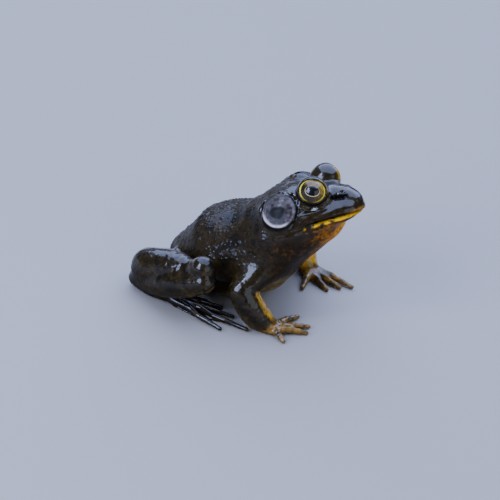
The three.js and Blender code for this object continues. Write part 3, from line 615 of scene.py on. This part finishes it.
D += by_drum * fade(-dr, -7.6, -6.8) * fade(dr, 2.6, 4.0) * 0.025 * np.sin(dth * 23 + 3.0 * noise(mirror, 2.5, 64))
tq = (V - TRUNK_TAIL) @ TM.T
up_side = fade(tq[:, 2], -24, -6)                   # back and flanks
on_trunk = (1 - on_head) * fade(-np.abs(tq[:, 1]), -31.5, -30.0) * fade(tq[:, 2], -40, -30)
limbs = {}
for name in ("upper_arm", "forearm", "thigh", "shank", "tarsus", "hand", "foot"):
    limbs[name] = np.minimum(chunked(getattr(SIDES[0], name), V), chunked(getattr(SIDES[1], name), V))
arm = fade(-np.minimum(limbs["upper_arm"], limbs["forearm"]), -2.2, -0.3)
leg = fade(-np.minimum(limbs["thigh"], limbs["shank"]), -2.0, -0.3)
hand = fade(-limbs["hand"], -1.2, -0.1) * fade(-V[:, 2], -9, -5)
foot = fade(-np.minimum(limbs["foot"], limbs["tarsus"]), -1.2, -0.1)
limb = np.maximum(np.maximum(arm, leg), np.maximum(hand, foot))
rough = (1 - on_head) * (1 - 0.75 * limb) * (0.35 + 0.65 * up_side)
neck = on_head * fade(S_, 36, 46) * (1 - by_drum * fade(-dr, -11, -9.5))
rough = np.clip(rough + 0.7 * neck + 0.45 * on_head * fade(S_, 22, 34) * fade(Z_, 11, 14), 0, 1) * (1 - by_drum * fade(-dr, -12.5, -11.0)) * (1 - 0.9 * on_fold)
wart_big, wart_small = warts(V, 3.3, 1.35, 0.5, 10), warts(V, 1.55, 0.85, 0.85, 30)
D += rough * (0.46 * wart_big + 0.46 * wart_small + 0.14 * noise(V, 2.6, 60) + 0.25 * noise(V, 7.5, 61))
D += (1 - rough) * (1 - by_drum * fade(-dr, -10, -8.5)) * (0.05 * noise(V, 1.5, 62) + 0.14 * noise(V, 5.5, 63)) * (1 - 0.6 * hand) * (1 - 0.5 * foot)
D += 0.07 * np.maximum(leg, arm) * noise(V, 1.1, 65) + 0.05 * leg * noise(V, 2.2, 66)
# loose folds of skin on the flank
flank = on_trunk * fade(-tq[:, 2], -2, 12) * (1 - limb)
D += 0.28 * flank * np.sin((tq[:, 0] * 0.55 + tq[:, 2] * 0.35) + 1.8 * noise(V, 11, 70)) * fade(noise(V, 16, 71), -0.4, 0.6)
V = V + N * D[:, None]
V[:, 2] = np.maximum(V[:, 2], 0.0)
N = vertex_normals(V, Q)


# ------------------------------------------------------------------ colours of the skin
def rgb(r, g, b):
    c = np.array([r, g, b], float) / 255
    return np.where(c <= 0.04045, c / 12.92, ((c + 0.055) / 1.055) ** 2.4)


def lay(base, colour, m):
    return base + (colour - base) * np.clip(m, 0, 1)[:, None]


n1, n2, n3 = noise(V, 9, 80), noise(V, 3.2, 81), noise(V, 1.4, 82)
down = fade(-N[:, 2], 0.05, 0.75)
C = np.repeat(rgb(46, 38, 20)[None], len(V), 0)
C = lay(C, rgb(28, 23, 13), fade(n1 + 0.5 * n2, 0.0, 0.6))
C = lay(C, rgb(68, 53, 24), (1 - up_side) * 0.6 * fade(n2 + 0.4 * n3, 0.0, 0.6))
# pale belly, washed with yellow and brown
clear = (1 - on_head) * (1 - 0.85 * np.maximum(arm, leg))
under = fade(-tq[:, 2], 20, 30) * clear * down
C = lay(C, rgb(172, 156, 98), np.maximum(under, 0.9 * clear * fade(-N[:, 2], 0.60, 0.92)))
C = lay(C, rgb(92, 80, 46), np.maximum(under, fade(-N[:, 2], 0.6, 0.9)) * clear * fade(n2 + 0.4 * n1, 0.0, 0.5) * 0.6)
# head: smoother and a little greyer on top
C = lay(C, rgb(48, 41, 25), on_head * fade(Z_, 3, 9) * 0.8)
# upper lip dark brown; a thin yellow-brown edge round the snout's tip
lipm = on_head * fade(seam, 0.0, 0.6) * fade(-seam, -5.6, -3.4) * fade(-S_, -40, -28)
C = lay(C, rgb(46, 36, 18), lipm * 0.85)
tip = on_head * fade(-S_, -9, -4.5) * fade(-(seam - 0.10 * np.maximum(6.0 - S_, 0)), -2.0, -0.9) * fade(seam, -0.5, 0.2)
C = lay(C, rgb(150, 108, 26), tip * (0.72 + 0.25 * n2))
# lower lip: a thin bright yellow strip along the mouth, breaking up backwards
broken = fade(0.7 * n2 + 0.5 * n3 + 1.9 - 0.075 * S_, 0.0, 0.4)
strip = on_head * fade(-seam, 0.25, 0.60) * fade(seam + 0.25 * n2, -2.2, -1.6) * fade(-S_, -33, -24) * broken
jawm = on_head * fade(-seam, 0.2, 1.6) * fade(-S_, -52, -38)
C = lay(C, rgb(48, 36, 15), jawm * 0.9)
speck = fade(0.75 * n3 + 0.65 * n2 + 0.3 * n1 - 0.30 + 0.75 * fade(-S_, -32, -14), 0.0, 0.35)
C = lay(C, rgb(150, 100, 22), jawm * speck * fade(-seam, 2.0, 3.2) * (0.30 + 0.70 * fade(-S_, -36, -16)))
# orange throat towards the front and the middle
mid = fade(-np.abs(q[:, 1]), -15.0, -5.0)
throat = on_head * fade(-seam, 4.8, 8.6) * fade(-S_, -32, -13) * (0.25 + 0.75 * mid)
C = lay(C, rgb(226, 158, 0), throat * (0.85 + 0.25 * n3))
C = lay(C, rgb(112, 78, 10), throat * fade(0.8 * n3 + 0.5 * n2, 0.0, 0.7) * 0.7)
C = lay(C, rgb(176, 122, 10), on_head * mid * fade(-seam, 6, 9) * fade(-S_, -50, -34) * 0.7 * fade(n2 + 0.5 * n3, -0.5, 0.2))
bright = fade(n3 + 0.7 * n2 + 1.2 * fade(-S_, -26, -8), 0.0, 0.7)
C = lay(C, rgb(84, 66, 18), strip)
C = lay(C, rgb(180, 142, 0), strip * bright)
# pale band on the inner forearm, fingers tan, toes dark
inner = np.where(V[:, 1] < 0, 1, -1) * N[:, 1]
front = fade(-limbs["forearm"], -1.6, -0.2) * fade(inner + 0.9 * N[:, 0], 0.35, 0.7)
C = lay(C, rgb(196, 158, 40), front * 0.92)
C = lay(C, rgb(132, 104, 46), hand * 0.8)
C = lay(C, rgb(52, 42, 20), hand * fade(n2 + 0.4 * n3, 0.0, 0.4) * 0.8)
C = lay(C, rgb(34, 28, 16), foot * 0.85)
C = lay(C, rgb(70, 56, 28), foot * fade(n2 + 0.3 * n3, 0.15, 0.6) * 0.6)
C = lay(C, rgb(172, 150, 72), leg * fade(N[:, 0], 0.10, 0.60) * fade(-N[:, 2], -0.30, 0.25) * fade(n3 + 0.4 * n2, -0.1, 0.4) * 0.8)
C = lay(C, rgb(66, 56, 26), leg * fade(n3 + 0.5 * n2, 0.1, 0.6) * 0.6)
C = lay(C, rgb(14, 12, 8), leg * fade(np.sin(tq[:, 0] * 0.42 + 1.2 * n1), 0.72, 0.95) * fade(N[:, 2], -0.1, 0.4) * 0.6)
# painted shade in the groove on the side of the snout, in the nostril and where the lids meet the ball; darker brown
# lower lids
# painted shade: a near-black mark in the groove under the canthus, where the snout's side lies in shade
snout_shade_dist = gd + 0.25 * n3 + 0.6 * np.abs(gt - 0.5)
C = lay(C, rgb(9, 7, 3), fade(-snout_shade_dist, -1.75, -1.25) * 0.97)
# painted shade in the nostril's opening
C = lay(C, rgb(8, 6, 4), fade(-nr, -1.2, -0.6))
# painted shade: a dark ring where the lids meet the eyeball
C = lay(C, rgb(20, 16, 10), by_eye * fade(-eye_r, -8.3, -7.4))
C = lay(C, rgb(60, 44, 18), by_eye * fade(-eye_r, -10.4, -9.6) * fade(eye_r, 8.2, 8.9) * fade(-eye_v, 0.0, 5.0) * 0.6)
# golden edge of the lids, in front and above
lid_e = np.sqrt((eye_u / LID_HALF[0]) ** 2 + ((eye_v + 0.1) / LID_HALF[1]) ** 2)
C = lay(C, rgb(216, 180, 34), by_eye * bell(lid_e - 1.12, 0.05) * fade(eye_u, 0.5, 4.0) * fade(eye_v, -2.5, 1.5) * (0.8 + 0.3 * n3) * np.where(SIDE < 0, 0.40, 1.0))
# tympanum: mottled grey ring with faint rays, painted shade on its top under the fold, dark brown middle, painted
# highlight on the rim below and behind, painted shade in the crease round it
drum = by_drum * fade(-dr, -8.9, -8.3)
dux = dq @ ux
rays = 0.5 + 0.5 * np.sin(dth * 21 + 4.0 * noise(mirror, 2.6, 90))
blots = noise(mirror, 1.5, 91) + 0.6 * noise(mirror, 3.4, 92)
C = lay(C, rgb(66, 62, 74), drum)
C = lay(C, rgb(34, 29, 26), drum * np.clip(0.45 * rays + 0.85 * fade(blots, -0.2, 0.4), 0, 1) * fade(dr, 2.6, 4.2))
C = lay(C, rgb(108, 106, 128), drum * fade(-blots, 0.0, 0.6) * 0.6 * fade(dr, 4.0, 6.5))
# painted shade on the top of the tympanum's ring, under the fold
C = lay(C, rgb(30, 26, 20), drum * fade(uyd, 2.5, 7.0) * 0.6)
patch = np.hypot((dux + 0.4) / 4.2, (uyd + 1.0 - 0.20 * np.abs(dux)) / 3.0) + 0.22 * noise(mirror, 2.4, 93)
C = lay(C, rgb(7, 5, 0), drum * fade(-patch, -1.15, -0.88))
# painted highlight: a pale bluish rim below and behind the eardrum
C = lay(C, rgb(196, 198, 222), by_drum * bell(dr - 8.0, 0.6) * 0.95 * fade(np.cos(dth - 4.15), 0.25, 0.85))
C = lay(C, rgb(104, 102, 112), by_drum * bell(dr - 8.0, 0.5) * 0.5 * fade(np.cos(dth + 0.2), 0.3, 0.9))
# painted shade in the crease round the eardrum
C = lay(C, rgb(10, 8, 5), by_drum * bell(dr - 9.3, 0.7) * 0.9)
# mouth's line: painted shade in the crease between the lips
C = lay(C, rgb(20, 14, 6), on_lips * bell(seam - 0.25, 0.30) * 0.8)
# painted light: the big warts' tops are painted a little golder and lighter, so the hollows read darker
C = lay(C, rgb(58, 50, 28), rough * wart_big * 0.5)

# roughness: wet and shiny above, duller on the throat, belly and the painted shade on the side of the snout
C = C * (0.42 + 0.58 * np.clip(np.maximum(np.maximum(strip, throat), tip), 0, 1) - 0.06 * leg + 0.24 * np.clip(drum + hand + front, 0, 1))[:, None] * [1.22, 1.06, 0.78]
gloss = 0.24 + rough * (0.30 - 0.40 * np.maximum(wart_small, wart_big)) + 0.04 * n2
gloss = gloss + (0.36 - 0.06 * blots - gloss) * drum
middle = drum * fade(-patch, -1.25, -0.95)
gloss = gloss + (0.88 - gloss) * np.clip(strip, 0, 1)
gloss = gloss + (0.82 - gloss) * np.clip(np.maximum(throat, on_head * fade(-seam, 3.0, 7.0)), 0, 1)
gloss = gloss + (0.52 - gloss) * clear * fade(-N[:, 2], 0.2, 0.7)
gloss = gloss + (0.68 - gloss) * (1 - drum) * 0.8 * fade(-N[:, 2], -0.30, 0.15)
gloss = gloss + (0.26 - gloss) * fade(-snout_shade_dist, -1.75, -1.25)
gloss = np.clip(gloss, 0.12, 0.9)
# the film of water: thick on smooth skin, thin between the warts, next to none on the eardrum and underneath
bumps = np.maximum(wart_small, wart_big)
wet = 0.98 * (1 - 0.76 * rough) + 0.36 * rough * bumps
wet = wet * (1 - 0.8 * fade(-N[:, 2], -0.30, 0.15)) * (1 - 0.88 * drum) * (1 - middle)
wet = wet * (1 - np.clip(np.maximum(np.maximum(strip, throat), fade(-snout_shade_dist, -1.75, -1.25)), 0, 1))
# a patch of the film lies on the eardrum above its middle
pool = np.hypot((dux - 1.8) / 4.0, (uyd - 2.7) / 2.6) + 0.30 * noise(mirror, 2.0, 94)
wet = np.maximum(wet, 0.55 * drum * fade(-pool, -1.15, -0.75) * (1 - middle))

mesh = bpy.data.meshes.new("skin")
mesh.vertices.add(len(V))
mesh.vertices.foreach_set("co", ((V + SHIFT) * 0.001).astype(np.float32).ravel())
mesh.loops.add(Q.size)
mesh.loops.foreach_set("vertex_index", Q.astype(np.int32).ravel())
mesh.polygons.add(len(Q))
mesh.polygons.foreach_set("loop_start", np.arange(0, Q.size, 4, dtype=np.int32))
mesh.polygons.foreach_set("use_smooth", np.ones(len(Q), bool))
mesh.update()
mesh.validate()
col = mesh.attributes.new("tint", "FLOAT_COLOR", "POINT")
col.data.foreach_set("color", np.concatenate([np.clip(C, 0, 1), np.ones((len(C), 1))], 1).astype(np.float32).ravel())
for name, values in (("rough_skin", rough), ("mottle", np.clip(1 - 0.7 * drum - 0.6 * strip, 0, 1)), ("drum", drum), ("gloss", gloss), ("wet", np.clip(wet, 0, 1))):
    at = mesh.attributes.new(name, "FLOAT", "POINT")
    at.data.foreach_set("value", values.astype(np.float32))
skin = bpy.data.objects.new("skin", mesh)
bpy.context.scene.collection.objects.link(skin)


# ------------------------------------------------------------------ materials
class Nodes:
    def __init__(self, name):
        self.mat = bpy.data.materials.new(name)
        self.mat.use_nodes = True
        self.t = self.mat.node_tree
        self.t.nodes.clear()

    def add(self, kind, **values):
        n = self.t.nodes.new(kind)
        for k, v in values.items():
            setattr(n, k, v)
        return n

    def link(self, a, b):
        self.t.links.new(a, b)

    def math(self, op, a, b=None, clamp=False):
        n = self.add("ShaderNodeMath", operation=op, use_clamp=clamp)
        for i, v in enumerate((a, b)):
            if v is None:
                continue
            if isinstance(v, (int, float)):
                n.inputs[i].default_value = v
            else:
                self.link(v, n.inputs[i])
        return n.outputs[0]

    def noise(self, co, scale, detail=3.0, rough=0.55):
        n = self.add("ShaderNodeTexNoise")
        n.inputs["Scale"].default_value = scale
        n.inputs["Detail"].default_value = detail
        n.inputs["Roughness"].default_value = rough
        self.link(co, n.inputs["Vector"])
        return n.outputs["Fac"]

    def ramp(self, fac, stops):
        n = self.add("ShaderNodeValToRGB")
        e = n.color_ramp.elements
        while len(e) < len(stops):
            e.new(0.5)
        for i, (pos, c) in enumerate(stops):
            e[i].position = pos
            e[i].color = (*c, 1)
        self.link(fac, n.inputs[0])
        return n.outputs[0]

    def mix(self, fac, a, b, kind="MIX"):
        n = self.add("ShaderNodeMix", data_type="RGBA", blend_type=kind)
        for sock, v in ((n.inputs[0], fac), (n.inputs[6], a), (n.inputs[7], b)):
            if isinstance(v, (int, float)):
                sock.default_value = v
            elif isinstance(v, tuple):
                sock.default_value = (*v, 1)
            else:
                self.link(v, sock)
        return n.outputs[2]

    def attribute(self, name, out="Fac"):
        n = self.add("ShaderNodeAttribute", attribute_name=name)
        return n.outputs[out]


def skin_material():
    m = Nodes("wet_frog_skin")
    co = m.add("ShaderNodeTexCoord").outputs["Object"]
    tint, rough_at, mottle = m.attribute("tint", "Color"), m.attribute("rough_skin"), m.attribute("mottle")
    fine, mid = m.noise(co, 1500, 4), m.noise(co, 420, 4, 0.6)
    dark = m.ramp(mid, [(0.36, (0.42, 0.42, 0.42)), (0.50, (1.0, 1.0, 1.0)), (0.66, (1.45, 1.38, 1.2))])
    speck = m.ramp(fine, [(0.34, (0.62, 0.62, 0.62)), (0.5, (1, 1, 1)), (0.68, (1.35, 1.3, 1.15))])
    c = m.mix(m.math("MULTIPLY", mottle, 0.85), tint, m.mix(1.0, tint, dark, "MULTIPLY"))
    c = m.mix(m.math("MULTIPLY", mottle, 0.7), c, m.mix(1.0, c, speck, "MULTIPLY"))
    bsdf, out = m.add("ShaderNodeBsdfPrincipled"), m.add("ShaderNodeOutputMaterial")
    m.link(c, bsdf.inputs["Base Color"])
    m.link(bsdf.outputs[0], out.inputs[0])
    r = m.math("ADD", m.math("MULTIPLY", m.noise(co, 420, 3), 0.16), m.math("SUBTRACT", m.attribute("gloss"), 0.08))
    m.link(r, bsdf.inputs["Roughness"])
    bsdf.inputs["IOR"].default_value = 1.45
    bsdf.inputs["Specular IOR Level"].default_value = 0.08
    m.link(m.attribute("wet"), bsdf.inputs["Coat Weight"])
    bsdf.inputs["Coat Roughness"].default_value = 0.15
    bsdf.inputs["Coat IOR"].default_value = 1.4
    # grain: close granules on the back, finer lines elsewhere
    vor = m.add("ShaderNodeTexVoronoi", feature="SMOOTH_F1")
    vor.inputs["Scale"].default_value = 900
    vor.inputs["Smoothness"].default_value = 0.5
    m.link(co, vor.inputs["Vector"])
    grain = m.math("MULTIPLY", m.math("SUBTRACT", 1.0, vor.outputs["Distance"]), m.math("ADD", m.math("MULTIPLY", rough_at, 0.9), 0.12))
    height = m.math("ADD", m.math("MULTIPLY", grain, 0.9), m.math("MULTIPLY", m.noise(co, 1300, 4), 0.35))
    bump = m.add("ShaderNodeBump")
    bump.inputs["Strength"].default_value = 0.75
    bump.inputs["Distance"].default_value = 0.00022
    m.link(m.math("MULTIPLY", height, m.math("SUBTRACT", 1.0, m.math("MULTIPLY", m.attribute("drum"), 0.8))), bump.inputs["Height"])
    m.link(bump.outputs[0], bsdf.inputs["Normal"])
    return m.mat


def eye_material():
    """Iris and pupil in the eye's own plane: X forward, Y up, Z out, in metres."""
    m = Nodes("frog_eye")
    co = m.add("ShaderNodeTexCoord").outputs["Object"]
    xyz = m.add("ShaderNodeSeparateXYZ")
    m.link(co, xyz.inputs[0])
    x, y, z = (m.math("MULTIPLY", xyz.outputs[i], 1000.0) for i in range(3))
    r = m.math("SQRT", m.math("ADD", m.math("MULTIPLY", x, x), m.math("MULTIPLY", y, y)))
    px, py = m.math("DIVIDE", x, 3.45), m.math("DIVIDE", m.math("ADD", y, 0.15), 2.55)
    p = m.math("SQRT", m.math("ADD", m.math("MULTIPLY", px, px), m.math("MULTIPLY", py, py)))
    ang = m.math("ARCTAN2", y, x)
    polar = m.add("ShaderNodeCombineXYZ")
    m.link(m.math("MULTIPLY", ang, 5.0), polar.inputs[0])
    m.link(m.math("MULTIPLY", r, 0.55), polar.inputs[1])
    veins = m.noise(polar.outputs[0], 3.2, 5, 0.65)
    blot = m.noise(co, 520, 4, 0.6)
    k = m.math("ADD", m.math("MULTIPLY", veins, 0.6), m.math("MULTIPLY", blot, 0.4))
    # gold flecks thickest in the upper front quarter
    lean = m.math("ADD", m.math("MULTIPLY", m.math("ADD", x, m.math("MULTIPLY", y, 0.8)), 0.022), k)
    iris = m.ramp(lean, [(0.40, (0.010, 0.006, 0.002)), (0.52, (0.060, 0.034, 0.006)), (0.60, (0.14, 0.085, 0.010)), (0.74, (0.40, 0.27, 0.035))])
    ye = m.math("MULTIPLY", y, 1.09)
    re = m.math("SQRT", m.math("ADD", m.math("MULTIPLY", x, x), m.math("MULTIPLY", ye, ye)))
    wob = m.math("ADD", re, m.math("MULTIPLY", m.math("SUBTRACT", blot, 0.5), 0.5))
    outer = m.ramp(m.math("DIVIDE", wob, 8.0), [(0.0, (0, 0, 0)), (0.700, (0, 0, 0)), (0.735, (1, 1, 1)), (0.775, (1, 1, 1)), (0.80, (0, 0, 0))])
    sides = m.math("DIVIDE", m.math("ABSOLUTE", x), m.math("ADD", r, 0.001))
    sides = m.math("ADD", m.math("MULTIPLY", m.math("POWER", sides, 1.8), 0.92), 0.03)
    c = m.mix(m.math("MULTIPLY", outer, sides), iris, (0.90, 0.68, 0.030))
    edge = m.ramp(m.math("DIVIDE", re, 8.0), [(0.790, (0, 0, 0)), (0.815, (1, 1, 1))])
    c = m.mix(edge, c, (0.012, 0.009, 0.005))
    ring = m.ramp(m.math("DIVIDE", p, 2.0), [(0.485, (0, 0, 0)), (0.505, (1, 1, 1)), (0.520, (1, 1, 1)), (0.550, (0, 0, 0))])
    lower = m.math("SUBTRACT", 0.55, m.math("MULTIPLY", y, 0.20), clamp=True)
    c = m.mix(m.math("MULTIPLY", m.math("MULTIPLY", ring, lower), 0.95), c, (0.72, 0.58, 0.26))
    hole = m.ramp(m.math("DIVIDE", p, 2.0), [(0.47, (1, 1, 1)), (0.50, (0, 0, 0))])
    c = m.mix(hole, c, (0.002, 0.002, 0.003))
    front = m.ramp(m.math("DIVIDE", z, 8.0), [(0.05, (0, 0, 0)), (0.15, (1, 1, 1))])
    c = m.mix(front, (0.03, 0.024, 0.014), c)
    bsdf, out = m.add("ShaderNodeBsdfPrincipled"), m.add("ShaderNodeOutputMaterial")
    m.link(c, bsdf.inputs["Base Color"])
    m.link(bsdf.outputs[0], out.inputs[0])
    m.link(m.math("ADD", m.math("MULTIPLY", blot, 0.15), 0.30), bsdf.inputs["Roughness"])
    bsdf.inputs["Specular IOR Level"].default_value = 0.08
    bsdf.inputs["Coat Weight"].default_value = 1.0
    bsdf.inputs["Coat Roughness"].default_value = 0.03
    bsdf.inputs["Coat IOR"].default_value = 1.42
    bump = m.add("ShaderNodeBump")
    bump.inputs["Strength"].default_value = 0.35
    bump.inputs["Distance"].default_value = 0.0001
    m.link(k, bump.inputs["Height"])
    m.link(bump.outputs[0], bsdf.inputs["Normal"])
    return m.mat


skin.data.materials.append(skin_material())
flesh = [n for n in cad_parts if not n.startswith("eye_")]
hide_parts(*flesh)
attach(skin, "root")

# ------------------------------------------------------------------ eyes
eye_mat = eye_material()
for side, name in ((-1, "right"), (1, "left")):
    c, x, y, z = eye_frame(side)
    rings, around = 40, 72
    th = np.linspace(0, math.pi, rings + 1)
    R = (EYE_RADIUS - 0.08) + 0.32 * fade(-th, -0.85, -0.15)      # cornea stands a little proud
    verts, faces = [(0, 0, R[0])], []
    for i in range(1, rings):
        for j in range(around):
            a = 2 * math.pi * j / around
            verts.append((R[i] * math.sin(th[i]) * math.cos(a), R[i] * math.sin(th[i]) * math.sin(a), R[i] * math.cos(th[i])))
    verts.append((0, 0, -R[-1]))
    at = lambda i, j: 1 + (i - 1) * around + j % around
    for j in range(around):
        faces.append((0, at(1, j), at(1, j + 1)))
        faces.append((len(verts) - 1, at(rings - 1, j + 1), at(rings - 1, j)))
        for i in range(1, rings - 1):
            faces.append((at(i, j), at(i + 1, j), at(i + 1, j + 1), at(i, j + 1)))
    me = bpy.data.meshes.new("eyeball_" + name)
    me.from_pydata([tuple(0.001 * v for v in p) for p in verts], [], faces)
    me.polygons.foreach_set("use_smooth", np.ones(len(me.polygons), bool))
    me.materials.append(eye_mat)
    ob = bpy.data.objects.new("eyeball_" + name, me)
    bpy.context.scene.collection.objects.link(ob)
    p = (c + SHIFT) * 0.001
    yy = np.cross(z, x)
    ob.matrix_world = Matrix([[x[i], yy[i], z[i], p[i]] for i in range(3)] + [[0, 0, 0, 1]])
    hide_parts("eye_" + name)
    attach(ob, "root")

# ------------------------------------------------------------------ floor and light
fl = bpy.data.meshes.new("floor")
fl.from_pydata([(-3, -3, 0), (3, -3, 0), (3, 3, 0), (-3, 3, 0)], [], [(0, 1, 2, 3)])
floor = bpy.data.objects.new("floor", fl)
floor.location.z = -0.0002
bpy.context.scene.collection.objects.link(floor)
fm = bpy.data.materials.new("floor")
fm.use_nodes = True
b = fm.node_tree.nodes["Principled BSDF"]
b.inputs["Base Color"].default_value = (0.255, 0.232, 0.20, 1)
b.inputs["Roughness"].default_value = 0.7
fl.materials.append(fm)

world = bpy.data.worlds.new("studio")
world.use_nodes = True
world.node_tree.nodes["Background"].inputs[0].default_value = (0.80, 0.84, 1.0, 1)
world.node_tree.nodes["Background"].inputs[1].default_value = 0.16
bpy.context.scene.world = world


def lamp(name, where, aim, size, power, colour):
    d = bpy.data.lights.new(name, "AREA")
    d.shape, d.size, d.energy, d.color = "SQUARE", size, power, colour
    o = bpy.data.objects.new(name, d)
    bpy.context.scene.collection.objects.link(o)
    o.location = where
    o.rotation_euler = (Vector(aim) - Vector(where)).to_track_quat("-Z", "Y").to_euler()


lamp("sky", (-0.15, 0.46, 1.02), (0, 0, 0.04), 2.2, 92.0, (0.44, 0.56, 1.0))
lamp("side", (-0.44, -0.66, 0.82), (0, 0, 0.05), 0.22, 4.6, (0.62, 0.72, 1.0))
lamp("arm", (-0.44, -0.94, 0.54), (0, 0, 0.05), 0.66, 22.0, (0.50, 0.60, 1.0))
lamp("front", (1.15, -0.50, 0.42), (0, 0, 0.04), 1.10, 7.0, (0.80, 0.85, 1.0))

bpy.context.view_layer.update()
print("skin", len(V), "vertices", len(Q), "quads")
